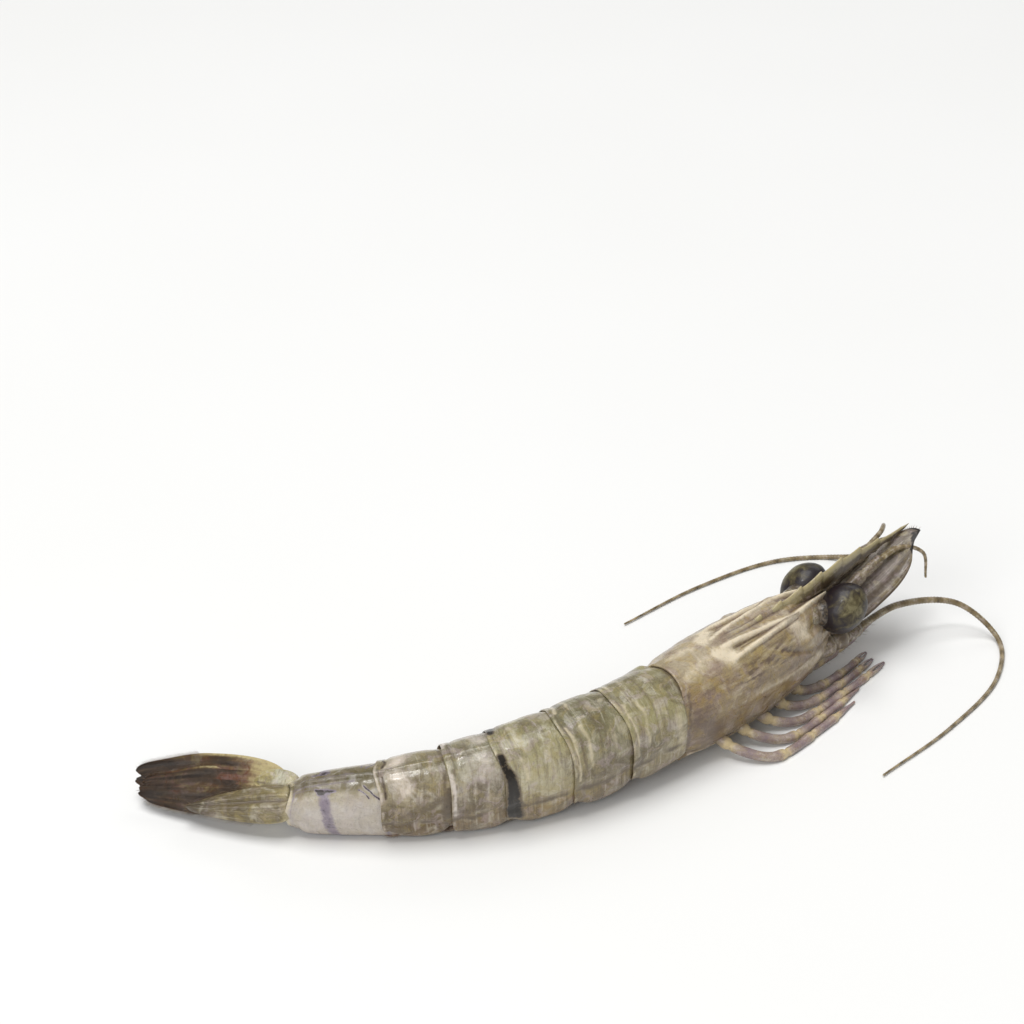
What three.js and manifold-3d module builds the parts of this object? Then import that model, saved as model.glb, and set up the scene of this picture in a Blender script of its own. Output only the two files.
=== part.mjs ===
// A raw giant tiger prawn, whole, lying on its belly with the abdomen bent to its left.
// Millimetres, +Z up, standing on Z = 0, with the origin under the middle of its bounding box.
//
// The shell is a chain of rigid plates, as in the animal: the carapace, six abdominal rings and
// the telson, each group nested in the one before it and turned at its joint. Head limbs, legs,
// swimmerets and tail blades are separate solids that stop a small gap short of what carries them.
//
// Every plate is worked out in its own frame: +X towards the head, +Y to the animal's left, +Z up.

import * as THREE from 'three';
import { mergeVertices } from 'three/addons/utils/BufferGeometryUtils.js';
import Module from 'manifold-3d';

const wasm = await Module();
wasm.setup();

// Driving dimensions

const CARAPACE_LENGTH = 52; // eye socket to rear edge
const ROSTRUM_REACH = 29; // how far the rostrum stands out past the eye sockets
const RING_LENGTHS = [14, 14, 15, 13.5, 12.5, 23]; // abdominal rings, front to back
const TELSON_LENGTH = 26;
const UROPOD_LENGTH = 36;
const EYE_DIAMETER = 10;
const SCALE_LENGTH = 31; // the flat antennal scale beside the rostrum
const GAP = 0.35; // air between neighbouring solids
const JOINT_GAP = 0.5; // air between one plate and the next
const FLOOR_REACH = 400; // half the side of the block that the floor cuts away

// Pose

const HEAD_SEAT = new THREE.Vector3(16.8, -26.3, 14.6); // rear centre of the carapace over the floor
const HEAD_HEADING = 43; // degrees from +X, seen from above
const HEAD_ROLL = 9; // lean towards the animal's right
const ABDOMEN_PITCH = 5; // the abdomen slopes down from the carapace
const JOINT_BEND = 6.6; // sideways bend at each joint of the abdomen
const JOINT_ROLL = 1.2; // each ring leans a little more than the one before
const JOINT_PITCH = 1.5; // each ring dips a little more than the one before
const TAIL_PITCH = 3;
const TAIL_ROLL = 14;

// Sections of the body, from the back's midline to the belly

const BELLY_SQUARENESS = 0.62; // exponent under 1 squares the lower half of a section
const PLEURON_SHARE = 0.76; // the belly is hollow across this share of the half width
const RIM_BOW = 1.6; // how far a plate's rear edge bows back on the flank
const PLATE_TUCK = 0.055; // a plate starts this much smaller, under the lip of the one ahead
const LOBE_RISE = 3.2; // how far a pleuron's corners round up from its lowest point
const SOCKET_DEPTH = 5; // the eye socket's notch in the carapace's front edge
const SOCKET_ANGLE = 52; // degrees from the back's midline to the notch
const SOCKET_SPREAD = 24;

const CARAPACE_SECTIONS = [
  { at: 0, half: 10.3, top: 12.0, bottom: 11.3 },
  { at: 14, half: 11.2, top: 12.7, bottom: 12.3 },
  { at: 30, half: 10.9, top: 12.8, bottom: 11.6 },
  { at: 42, half: 9.3, top: 12.2, bottom: 9.2 },
  { at: CARAPACE_LENGTH, half: 6.0, top: 10.6, bottom: 5.6 },
];
const ABDOMEN_SECTIONS = [
  { at: 0, half: 10.2, top: 11.9, bottom: 11.4 },
  { at: 28, half: 10.3, top: 12.2, bottom: 12.2 },
  { at: 56, half: 8.6, top: 10.4, bottom: 10.6 },
  { at: 69, half: 7.4, top: 8.9, bottom: 9.4 },
  { at: 92, half: 4.9, top: 6.4, bottom: 6.8 },
];
const CARAPACE_HOLLOW = 4.2; // how far the belly arches up between the flanks
const RING_HOLLOW = 4.6;

// Rostrum: heights are over the body's axis, and distances run forward from the carapace's rear

const ROSTRUM = {
  crestStart: 22, // where the crest leaves the back
  crestTop: 12.3,
  crestFoot: 9, // inside the carapace
  crestRise: 2.3,
  root: 50, // where the blade stands clear of the carapace
  rootUnder: 8.6,
  upturnStart: 40,
  upturn: 0.0021,
  tipDepth: 0.7,
  thickness: 2.6,
  thinningStart: 46,
  tipThinning: 0.62,
  teeth: 7,
  toothHeight: 1.5,
  toothlessTip: 12,
  firstTooth: 3, // past the crest's start
  underTeeth: 3,
  underToothPitch: 5,
  firstUnderTooth: 7, // back from the tip
  underToothHeight: 1,
};

// Head limbs, legs, swimmerets and tail blades

const TELSON_BLADE = { length: TELSON_LENGTH, width: 9.4, thickness: 4.6, fullest: 0.22, bluntness: 1.5 };
const FAN_BLADE = { thickness: 1.6, fullest: 0.6, bluntness: 3.6 };
const SCALE_BLADE = {
  length: SCALE_LENGTH,
  width: 9.6,
  thickness: 1.8,
  fullest: 0.58,
  bluntness: 3,
  droop: -6, // curves up
};
const SWIMMERET_BLADE = {
  length: 11.5,
  width: 4.6,
  thickness: 1.5,
  fullest: 0.55,
  bluntness: 2.2,
  droop: 0.8,
};
const SWIMMERET_PAIRS = 5;
const SWIMMERET_LEAN = 0.25; // radians, outwards
const LEG_LENGTHS = [30, 36, 44, 38, 40]; // from the hip to the toe
const FRONT_HIP = 37; // along the carapace
const HIP_PITCH = 7;
const INNER_LANE = 5.6; // the front leg's distance from the midline on the floor
const LANE_PITCH = 2.9;
const SIDES = [[1, 'left'], [-1, 'right']];

// Mesh fineness

const BODY_SIDES = 30;
const RING_STEPS = 6;
const CARAPACE_STEPS = 18;
const BLADE_SIDES = 10;
const BLADE_STEPS = 9;
const LIMB_SIDES = 6;

// Finishes

const OLIVE_SHELL = { color: 0x8f866f, roughness: 0.35 };
const BROWN_SHELL = { color: 0x85775f, roughness: 0.35 };
const FAN_BROWN = { color: 0x4a3e33, roughness: 0.45 };
const TELSON_OLIVE = { color: 0x867a61, roughness: 0.45 };
const EYE_BLACK = { color: 0x2a2620, roughness: 0.15 };
const SCALE_GREY = { color: 0x9a8f82, roughness: 0.4 };
const FEELER_TAN = { color: 0x8c7a58, roughness: 0.5 };
const LEG_CREAM = { color: 0xc9b79a, roughness: 0.45 };
const SWIMMERET_PINK = { color: 0xb59a86, roughness: 0.45 };

// Small helpers

const radians = THREE.MathUtils.degToRad;
const point = (x, y, z) => new THREE.Vector3(x, y, z);
const signedPower = (value, exponent) => Math.sign(value) * Math.abs(value) ** exponent;

// Smooth value of a named size between the rows of a section table.
function sizeAt(rows, key, at) {
  const last = rows.length - 1;
  let i = 0;
  while (i < last - 1 && at > rows[i + 1].at) i += 1;
  const span = rows[i + 1].at - rows[i].at;
  const slope = (k) => {
    const before = rows[Math.max(k - 1, 0)];
    const after = rows[Math.min(k + 1, last)];
    return (after[key] - before[key]) / (after.at - before.at);
  };
  const t = THREE.MathUtils.clamp((at - rows[i].at) / span, 0, 1);
  const t2 = t * t;
  const t3 = t2 * t;
  return (
    rows[i][key] * (2 * t3 - 3 * t2 + 1) +
    slope(i) * span * (t3 - 2 * t2 + t) +
    rows[i + 1][key] * (3 * t2 - 2 * t3) +
    slope(i + 1) * span * (t3 - t2)
  );
}

// A closed surface from a sphere's net: rings of points between two poles.
function loft(sides, steps, startPole, endPole, ringPoint) {
  const geometry = new THREE.SphereGeometry(1, sides, steps + 1);
  const { position, uv } = geometry.attributes;
  for (let i = 0; i < position.count; i += 1) {
    const row = Math.round((1 - uv.getY(i)) * (steps + 1));
    let placed;
    if (row === 0) placed = startPole;
    else if (row === steps + 1) placed = endPole;
    else placed = ringPoint((row - 1) / (steps - 1), uv.getX(i) * 2 * Math.PI);
    position.setXYZ(i, placed.x, placed.y, placed.z);
  }
  return facingOut(geometry);
}

// Turn a closed surface's triangles over where they enclose a negative volume.
function facingOut(geometry) {
  const { position } = geometry.attributes;
  const { array } = geometry.index;
  const corner = [0, 1, 2].map(() => new THREE.Vector3());
  let volume = 0;
  for (let i = 0; i < array.length; i += 3) {
    corner.forEach((vertex, k) => vertex.fromBufferAttribute(position, array[i + k]));
    volume += corner[0].dot(corner[1].cross(corner[2]));
  }
  if (volume < 0) array.reverse();
  return geometry;
}

// A closed three.js geometry as a manifold solid.
function solidOf(geometry, matrix = new THREE.Matrix4()) {
  const bare = new THREE.BufferGeometry();
  bare.setAttribute('position', geometry.getAttribute('position').clone());
  bare.setIndex(geometry.index);
  bare.applyMatrix4(matrix);
  const merged = mergeVertices(bare, 1e-4);
  const solid = new wasm.Manifold(
    new wasm.Mesh({
      numProp: 3,
      vertProperties: new Float32Array(merged.attributes.position.array),
      triVerts: new Uint32Array(merged.index.array),
    }),
  );
  return solid;
}

// A manifold solid as a three.js geometry.
function geometryOf(solid, matrix = new THREE.Matrix4()) {
  const { vertProperties, triVerts } = solid.getMesh();
  const geometry = new THREE.BufferGeometry();
  geometry.setAttribute('position', new THREE.BufferAttribute(new Float32Array(vertProperties), 3));
  geometry.setIndex(new THREE.BufferAttribute(new Uint32Array(triVerts), 1));
  geometry.applyMatrix4(matrix);
  geometry.computeVertexNormals();
  return geometry;
}

function largestBody(solid) {
  return solid.decompose().reduce((a, b) => (b.volume() > a.volume() ? b : a));
}

// Body sections

// Offset of a section point from the body's axis. Angle 0 is the back's midline, and the angle
// grows towards the animal's left.
function sectionOffset(angle, { half, top, bottom, hollow }) {
  const side = Math.sin(angle);
  const rise = Math.cos(angle);
  if (rise >= 0) return { y: half * side, z: top * rise };
  const y = half * signedPower(side, BELLY_SQUARENESS);
  const reach = Math.min(Math.abs(y) / (half * PLEURON_SHARE), 1);
  const arch = hollow * (1 - reach * reach) ** 1.5;
  return { y, z: bottom * signedPower(rise, BELLY_SQUARENESS) + arch };
}

// How far back a plate's edge lies at this angle, bowed on the flank and square on the midlines.
const rimBow = (angle) => RIM_BOW * Math.sin(angle) ** 2;

// How far forward the carapace reaches at this angle: a notch on each side holds the eye.
function frontReach(angle) {
  const fromBack = THREE.MathUtils.radToDeg(Math.acos(Math.cos(angle)));
  const notch = Math.exp(-(((fromBack - SOCKET_ANGLE) / SOCKET_SPREAD) ** 2));
  return CARAPACE_LENGTH - SOCKET_DEPTH * notch;
}

// Plates

// One abdominal ring, from its joint at the frame's origin back along -X.
function abdominalRing(index, grow) {
  const length = RING_LENGTHS[index];
  const start = RING_LENGTHS.slice(0, index).reduce((sum, l) => sum + l, 0);
  const isLast = index === RING_LENGTHS.length - 1;
  const mitre = Math.tan(radians(JOINT_BEND / 2));
  const ringPoint = (t, angle) => {
    const at = start + t * length;
    const swell = 1 - PLATE_TUCK * (1 - t) ** 2;
    const corner = isLast ? 0 : LOBE_RISE * Math.abs(2 * t - 1) ** 3;
    const offset = sectionOffset(angle, {
      half: sizeAt(ABDOMEN_SECTIONS, 'half', at) * swell + grow,
      top: sizeAt(ABDOMEN_SECTIONS, 'top', at) * swell + grow,
      bottom: sizeAt(ABDOMEN_SECTIONS, 'bottom', at) - corner + grow,
      hollow: isLast ? RING_HOLLOW * (1 - t) : RING_HOLLOW,
    });
    const frontEdge = -JOINT_GAP / 2 + grow - offset.y * mitre;
    const rearEdge = -length + JOINT_GAP / 2 - grow + offset.y * mitre;
    const x = THREE.MathUtils.lerp(frontEdge, rearEdge, t) - rimBow(angle);
    return point(x, offset.y, offset.z);
  };
  return loft(
    BODY_SIDES,
    RING_STEPS,
    point(-JOINT_GAP / 2 + grow, 0, 0),
    point(-length + JOINT_GAP / 2 - grow, 0, 0),
    ringPoint,
  );
}

// The carapace's shell, from its rear edge at the frame's origin forward along +X.
function carapaceShell(grow) {
  const mitre = Math.tan(radians(JOINT_BEND / 2));
  const ringPoint = (t, angle) => {
    const at = t * CARAPACE_LENGTH;
    const rearEdge = JOINT_GAP / 2 - grow - rimBow(angle);
    const offset = sectionOffset(angle, {
      half: sizeAt(CARAPACE_SECTIONS, 'half', at) + grow,
      top: sizeAt(CARAPACE_SECTIONS, 'top', at) + grow,
      bottom: sizeAt(CARAPACE_SECTIONS, 'bottom', at) + grow,
      hollow: CARAPACE_HOLLOW * (1 - t * t),
    });
    const reach = frontReach(angle);
    const x = t * (reach + grow) + (1 - t) ** 3 * (rearEdge + offset.y * mitre);
    return point(x, offset.y, offset.z);
  };
  return loft(
    BODY_SIDES,
    CARAPACE_STEPS,
    point(JOINT_GAP / 2 - grow, 0, 0),
    point(CARAPACE_LENGTH - SOCKET_DEPTH + grow, 0, 2),
    ringPoint,
  );
}

// The rostrum: a toothed blade that rises from the back as a crest and ends in a point.
function rostrumBlade(grow) {
  const { crestStart, root, teeth, toothHeight, tipDepth, underToothHeight } = ROSTRUM;
  const { lerp, smoothstep } = THREE.MathUtils;
  const tip = CARAPACE_LENGTH + ROSTRUM_REACH;
  const topLine = (x) => {
    const rise = ROSTRUM.crestRise * smoothstep(x, crestStart, root);
    return ROSTRUM.crestTop + rise + ROSTRUM.upturn * Math.max(x - ROSTRUM.upturnStart, 0) ** 2;
  };
  const underLine = (x) =>
    lerp(ROSTRUM.rootUnder, topLine(tip) - tipDepth, ((x - root) / (tip - root)) ** 0.9);
  const outline = new THREE.Shape();
  outline.moveTo(crestStart, ROSTRUM.crestFoot);
  outline.lineTo(crestStart, topLine(crestStart));
  const pitch = (tip - ROSTRUM.toothlessTip - crestStart) / teeth;
  for (let i = 0; i < teeth; i += 1) {
    const foot = crestStart + ROSTRUM.firstTooth + i * pitch;
    const peak = foot + 0.62 * pitch;
    const drop = foot + 0.7 * pitch;
    outline.lineTo(foot, topLine(foot));
    outline.lineTo(peak, topLine(peak) + toothHeight);
    outline.lineTo(drop, topLine(drop));
  }
  outline.lineTo(tip, topLine(tip));
  outline.lineTo(tip, topLine(tip) - tipDepth);
  for (let i = 0; i < ROSTRUM.underTeeth; i += 1) {
    const x = tip - ROSTRUM.firstUnderTooth - i * ROSTRUM.underToothPitch;
    outline.lineTo(x + 1.2, underLine(x + 1.2));
    outline.lineTo(x + 0.6, underLine(x) - underToothHeight);
    outline.lineTo(x - 2, underLine(x - 2));
  }
  outline.lineTo(root, ROSTRUM.rootUnder);
  const depth = ROSTRUM.thickness + 2 * grow;
  const blade = new THREE.ExtrudeGeometry(outline, { depth, bevelEnabled: false });
  blade.translate(0, 0, -depth / 2).rotateX(Math.PI / 2);
  const { position } = blade.attributes;
  for (let i = 0; i < position.count; i += 1) {
    const along = smoothstep(position.getX(i), ROSTRUM.thinningStart, tip);
    position.setY(i, position.getY(i) * (1 - ROSTRUM.tipThinning * along));
  }
  return blade;
}

// Limbs and blades

// A tapering limb through a few points, round in section, with rounded ends.
function limb(points, startRadius, endRadius, grow, steps = 3 * points.length) {
  const curve = new THREE.CatmullRomCurve3(points, false, 'centripetal');
  const frames = curve.computeFrenetFrames(steps - 1, false);
  const ringPoint = (t, angle) => {
    const i = Math.round(t * (steps - 1));
    const radius = THREE.MathUtils.lerp(startRadius, endRadius, t) + grow;
    return curve
      .getPointAt(t)
      .addScaledVector(frames.normals[i], radius * Math.cos(angle))
      .addScaledVector(frames.binormals[i], -radius * Math.sin(angle));
  };
  const cap = (t, radius) => curve.getPointAt(t).addScaledVector(curve.getTangentAt(t), radius);
  return loft(
    LIMB_SIDES,
    steps,
    cap(0, -0.6 * startRadius - grow),
    cap(1, 0.6 * endRadius + grow),
    ringPoint,
  );
}

// A thin leaf along -X from the frame's origin: its outline swells to its full width at `fullest`
// of its length, and a higher `bluntness` squares its end.
function blade(sizes, grow, steps = BLADE_STEPS) {
  const { length, width, thickness, fullest, bluntness, droop = 0 } = sizes;
  const skew = Math.log(0.5) / Math.log(fullest);
  const outline = (t) => (1 - Math.abs(2 * t ** skew - 1) ** bluntness) ** (1 / bluntness);
  const ringPoint = (step, angle) => {
    const t = 0.02 + 0.96 * step;
    const half = 0.5 * width * outline(t) + grow;
    const thick = 0.5 * thickness * (1 - 0.55 * t) + grow;
    const x = -length * t + grow * (1 - 2 * t);
    return point(x, half * Math.sin(angle), thick * Math.cos(angle) - droop * t * t);
  };
  return loft(
    BLADE_SIDES,
    steps,
    point(grow, 0, 0),
    point(-length - grow, 0, -droop),
    ringPoint,
  );
}

// Assembly: groups hold the frames, and each piece is built in the frame of its group.

const prawn = new THREE.Group();
const pieces = [];

function frameIn(parent, x, y, z, roll = 0, pitch = 0, heading = 0) {
  const group = new THREE.Group();
  group.position.set(x, y, z);
  group.rotation.set(radians(roll), radians(pitch), radians(heading), 'ZYX');
  parent.add(group);
  return group;
}

const addPiece = (group, name, finish, build) => pieces.push({ group, name, finish, build });

// The stance stands on the floor under the carapace and shares its heading; the head leans on it.
const stance = frameIn(prawn, HEAD_SEAT.x, HEAD_SEAT.y, 0, 0, 0, HEAD_HEADING);
const head = frameIn(stance, 0, 0, HEAD_SEAT.z, HEAD_ROLL);
const onHead = (x, y, z) => point(x, y, z).applyEuler(head.rotation).add(head.position);

// Carapace with its rostrum
addPiece(head, 'carapace', BROWN_SHELL, (grow) => {
  const shell = solidOf(carapaceShell(grow));
  return geometryOf(shell.add(solidOf(rostrumBlade(grow))));
});

// Abdominal rings, each hung on the one before it
const rings = [];
RING_LENGTHS.forEach((length, index) => {
  const parent = index ? rings[index - 1] : head;
  const reach = index ? RING_LENGTHS[index - 1] : 0;
  const pitch = index ? -JOINT_PITCH : -ABDOMEN_PITCH;
  const ring = frameIn(parent, -reach, 0, 0, index ? JOINT_ROLL : 0, pitch, -JOINT_BEND);
  rings.push(ring);
  addPiece(ring, `abdomen_ring_${index + 1}`, OLIVE_SHELL, (grow) => abdominalRing(index, grow));
});

// Tail fan: the telson over two blades a side. The left blades spread, the right ones are folded
// in under the telson.
const tail = frameIn(rings[5], -RING_LENGTHS[5], 0, 0, TAIL_ROLL, -TAIL_PITCH, -JOINT_BEND);
const telson = frameIn(tail, -0.4, 0, 2.6, 0, -7);
addPiece(telson, 'telson', TELSON_OLIVE, (grow) => blade(TELSON_BLADE, grow));
const FAN = [
  { name: 'uropod_inner_left', y: 2.4, z: -0.2, spread: -4, lean: 4, length: 0.9, width: 11.5 },
  { name: 'uropod_inner_right', y: -0.8, z: -2.2, spread: -6, lean: -8, length: 0.8, width: 9 },
  { name: 'uropod_outer_left', y: 3.8, z: -1.6, spread: -10, lean: 8, length: 1, width: 14 },
  { name: 'uropod_outer_right', y: -0.6, z: -4.0, spread: -9, lean: -12, length: 0.84, width: 10 },
];
for (const { name, y, z, spread, lean, length, width } of FAN) {
  const frame = frameIn(tail, -0.6, y, z, lean, -5, spread);
  const sizes = { ...FAN_BLADE, length: length * UROPOD_LENGTH, width };
  addPiece(frame, name, FAN_BROWN, (grow) => blade(sizes, grow));
}

// Head limbs
for (const [side, label] of SIDES) {
  // Stalked eye, swelling from the socket to an oval eyeball
  addPiece(head, `eye_${label}`, EYE_BLACK, (grow) => {
    const ball = new THREE.SphereGeometry(EYE_DIAMETER / 2 + grow, 14, 10);
    ball.scale(0.9, 1, 1.12).translate(CARAPACE_LENGTH + 2, side * 8.2, 6.6);
    const stalkLine = [point(44, side * 3.2, 7), point(CARAPACE_LENGTH, side * 6.4, 7)];
    const stalk = limb(stalkLine, 2.6, 3.8, grow, 5);
    return geometryOf(solidOf(ball).add(solidOf(stalk)));
  });

  // Antennal scale: a flat blade that points forward and up, beside the rostrum
  const scale = frameIn(head, CARAPACE_LENGTH - 2, side * 4.9, -0.8, side * 14, 16, 180 - side * 2);
  addPiece(scale, `antennal_scale_${label}`, SCALE_GREY, (grow) => blade(SCALE_BLADE, grow));

  // Antennule: a jointed base between the scales, with two short feelers that droop at its end
  addPiece(head, `antennule_${label}`, FEELER_TAN, (grow) => {
    const stem = [point(46, side * 2.2, 5), point(58, side * 2.2, 8), point(70, side * 2.3, 12.4)];
    const end = stem[2];
    const long = [
      end,
      point(77, side * 3.6, 14),
      point(82, side * 6.6, 11.6),
      point(83, side * 8.4, 4.6),
    ];
    const short = [end, point(76, side * 2, 13), point(82, side * 2.2, 9.4)];
    return geometryOf(
      solidOf(limb(stem, 1.8, 1.2, grow, 6))
        .add(solidOf(limb(long, 0.75, 0.45, grow, 9)))
        .add(solidOf(limb(short, 0.7, 0.4, grow, 7))),
    );
  });

  // Antenna: a stout base under the scale, and a long whip that runs forward, then sweeps out and
  // back over the floor
  const knuckle = onHead(CARAPACE_LENGTH + 9, side * 6.4, -2.6);
  addPiece(stance, `antenna_base_${label}`, FEELER_TAN, (grow) =>
    limb([onHead(CARAPACE_LENGTH - 8, side * 5.2, -3.2), knuckle], 3, 2.1, grow, 6),
  );
  const bow = side > 0 ? 1.12 : 1;
  const route = [
    knuckle,
    onHead(CARAPACE_LENGTH + 24, side * 7.4, -1.6),
    point(91, side * 14, 8.6),
    point(95, side * 24 * bow, 1.4),
    point(82, side * 34 * bow, 0.6),
    point(58, side * 39 * bow, 0.6),
    point(32, side * 40 * bow, 0.6),
  ];
  addPiece(stance, `antenna_whip_${label}`, FEELER_TAN, (grow) => limb(route, 0.95, 0.5, grow, 18));
}

// Legs: five pairs and the third maxillipeds, folded forward along the floor. The rear pairs lie
// outside the front ones.
for (const [side, label] of SIDES) {
  addPiece(stance, `maxilliped_${label}`, LEG_CREAM, (grow) =>
    limb(
      [
        onHead(36, side * 3.2, -6),
        onHead(46, side * 4.0, -10),
        onHead(60, side * 4.2, -9.4),
        onHead(72, side * 3.4, -7),
      ],
      1.7,
      0.9,
      grow,
    ),
  );
  LEG_LENGTHS.forEach((length, index) => {
    const hip = FRONT_HIP - HIP_PITCH * index;
    const lane = INNER_LANE + LANE_PITCH * index;
    addPiece(stance, `leg_${index + 1}_${label}`, LEG_CREAM, (grow) =>
      limb(
        [
          onHead(hip, side * 4.2, -7.6),
          point(hip + 3, side * (0.55 * lane + 3), 3.2),
          point(hip + 9, side * (lane + 1.4), 1.3),
          point(hip + 0.65 * length, side * (lane + 1.2), 0.9),
          point(hip + length, side * (lane - 0.6), 0.6),
        ],
        1.35,
        0.75,
        grow,
        14,
      ),
    );
  });
}

// Swimmerets: a stout stem and a leaf under each of the first five rings, laid back.
for (let index = 0; index < SWIMMERET_PAIRS; index += 1) {
  const middle = -0.42 * RING_LENGTHS[index];
  const start = RING_LENGTHS.slice(0, index).reduce((sum, l) => sum + l, 0);
  const depth = sizeAt(ABDOMEN_SECTIONS, 'bottom', start - middle);
  for (const [side, label] of SIDES) {
    addPiece(rings[index], `swimmeret_${index + 1}_${label}`, SWIMMERET_PINK, (grow) => {
      const stem = limb(
        [point(middle, side * 4, -depth + 5.5), point(middle - 2, side * 4.6, -depth + 1.8)],
        1.7,
        1.3,
        grow,
        4,
      );
      const leaf = blade(SWIMMERET_BLADE, grow, 6);
      leaf.rotateX(side * SWIMMERET_LEAN).translate(middle - 1.2, side * 4.8, -depth + 1.7);
      return geometryOf(solidOf(stem).add(solidOf(leaf)));
    });
  }
}

// Fit the pieces together: each later piece is cut back from the ones before it, and all of them
// are flattened where they rest on the floor.

prawn.updateMatrixWorld(true);
const underFloor = new THREE.BoxGeometry(2 * FLOOR_REACH, 2 * FLOOR_REACH, FLOOR_REACH);
underFloor.translate(0, 0, -FLOOR_REACH / 2);
const floor = solidOf(underFloor);

const boxOf = (solid) => {
  const { min, max } = solid.boundingBox();
  return new THREE.Box3(new THREE.Vector3(...min), new THREE.Vector3(...max));
};

const fitted = [];
for (const { group, name, finish, build } of pieces) {
  let solid = solidOf(build(0), group.matrixWorld).subtract(floor);
  for (const other of fitted) {
    if (boxOf(solid).intersectsBox(other.box)) solid = solid.subtract(other.clearance);
  }
  const clearance = solidOf(build(GAP), group.matrixWorld);
  fitted.push({ clearance, box: boxOf(clearance) });
  const geometry = geometryOf(largestBody(solid), group.matrixWorld.clone().invert());
  const material = new THREE.MeshStandardMaterial({ ...finish, metalness: 0 });
  const mesh = new THREE.Mesh(geometry, material);
  mesh.name = name;
  group.add(mesh);
}

export default prawn;
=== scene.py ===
"""A raw tiger prawn, whole, lying on its belly with the abdomen bent to its left.

The shell is a chain of thin plates: the carapace with its rostrum, six abdominal rings and the telson. Each plate's
rear lip lies over the front of the next one. Eyes, feelers, legs, swimmerets and tail blades hang on that chain.

Shapes are worked out in millimetres in the frame of the plate that carries them, with +X towards the head, +Y to the
animal's left and +Z up. A finished mesh is put in its place and scaled to metres.
"""

import logging
import math
import random
from dataclasses import dataclass
from enum import Enum
from functools import cached_property
from typing import Callable, NamedTuple, Sequence, TypeVar

import bmesh
import bpy
from bpy.types import Material, NodeSocket, Object
from mathutils import Matrix, Vector, noise


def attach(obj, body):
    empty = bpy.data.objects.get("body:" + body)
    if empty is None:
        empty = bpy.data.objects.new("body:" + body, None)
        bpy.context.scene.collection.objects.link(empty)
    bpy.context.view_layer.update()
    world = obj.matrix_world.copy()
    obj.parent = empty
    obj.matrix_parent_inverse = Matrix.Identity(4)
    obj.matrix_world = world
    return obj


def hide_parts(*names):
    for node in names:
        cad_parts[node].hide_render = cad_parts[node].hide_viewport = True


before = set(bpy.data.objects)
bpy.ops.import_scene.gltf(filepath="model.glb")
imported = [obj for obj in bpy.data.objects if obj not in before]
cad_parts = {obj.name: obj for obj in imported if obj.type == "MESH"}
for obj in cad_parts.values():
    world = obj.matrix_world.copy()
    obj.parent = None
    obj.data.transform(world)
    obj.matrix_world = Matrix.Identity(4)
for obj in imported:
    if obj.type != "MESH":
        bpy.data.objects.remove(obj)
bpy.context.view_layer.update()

LOG = logging.getLogger("prawn")
MM = 0.001
FLOOR_CLEARANCE = 0.02  # mm between the floor and what rests on it
TAGS = ("along", "flank", "pale", "dark")  # float attributes of every mesh, read by the finishes
TINY = 1e-6  # keeps divisions by a length safe

Pair = tuple[float, float]
Triple = tuple[float, float, float]
Hair = tuple[Vector, Vector]  # root and tip
Value = TypeVar("Value", float, Vector)
Row = TypeVar("Row")


# Numbers

def lerp(start: float, end: float, share: float) -> float:
    """Value at a share of the way from start to end."""
    return start + (end - start) * share


def smooth(low: float, high: float, value: float) -> float:
    """Smooth step: 0 below low, 1 above high."""
    share = min(max((value - low) / (high - low), 0.0), 1.0)
    return share * share * (3.0 - 2.0 * share)


def hump(value: float, centre: float, width: float) -> float:
    """Bell curve of height 1 around centre."""
    return math.exp(-(((value - centre) / width) ** 2))


def signed_power(value: float, exponent: float) -> float:
    """Power of a number's size that keeps its sign."""
    return math.copysign(abs(value) ** exponent, value)


def hermite(start: Value, start_slope: Value, end: Value, end_slope: Value, share: float) -> Value:
    """Value on a cubic between two ends with given slopes.

    Args:
        start: Value at the start.
        start_slope: Slope there, over the whole span.
        end: Value at the end.
        end_slope: Slope there.
        share: 0 at the start to 1 at the end.

    Returns:
        The value.
    """
    t2, t3 = share**2, share**3
    return (
        start * (2 * t3 - 3 * t2 + 1)
        + start_slope * (t3 - 2 * t2 + share)
        + end * (3 * t2 - 2 * t3)
        + end_slope * (t3 - t2)
    )


def ripple(point: Vector, size: float, seed: float = 0.0) -> float:
    """Smooth noise from -1 to 1 with lumps of the given size.

    Args:
        point: Where to read it.
        size: Lump size, in the point's units.
        seed: Moves the pattern.

    Returns:
        The noise value.
    """
    return noise.noise(point / size + Vector((seed, 1.7 * seed, 0.3 * seed)))


def placed(x: float, y: float, z: float, roll: float = 0.0, pitch: float = 0.0, heading: float = 0.0) -> Matrix:
    """Frame at a point, turned by roll, then pitch, then heading.

    Args:
        x: Place along the parent's X, in mm.
        y: Place along the parent's Y.
        z: Place along the parent's Z.
        roll: Turn about X, in degrees.
        pitch: Turn about Y.
        heading: Turn about Z.

    Returns:
        The frame's matrix in its parent.
    """
    turn = Matrix.Rotation(math.radians(heading), 4, "Z")
    turn @= Matrix.Rotation(math.radians(pitch), 4, "Y")
    turn @= Matrix.Rotation(math.radians(roll), 4, "X")
    return Matrix.Translation((x, y, z)) @ turn


class Side(Enum):
    """The animal's two sides, with the sign of their Y."""

    LEFT = 1
    RIGHT = -1

    @property
    def label(self) -> str:
        """The side's word in a node's name."""
        return self.name.lower()

    def mirror(self, points: Sequence[Triple]) -> list[Vector]:
        """Points given for the left side, mirrored for the right one."""
        return [Vector((x, self.value * y, z)) for x, y, z in points]


# How the animal lies

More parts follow.
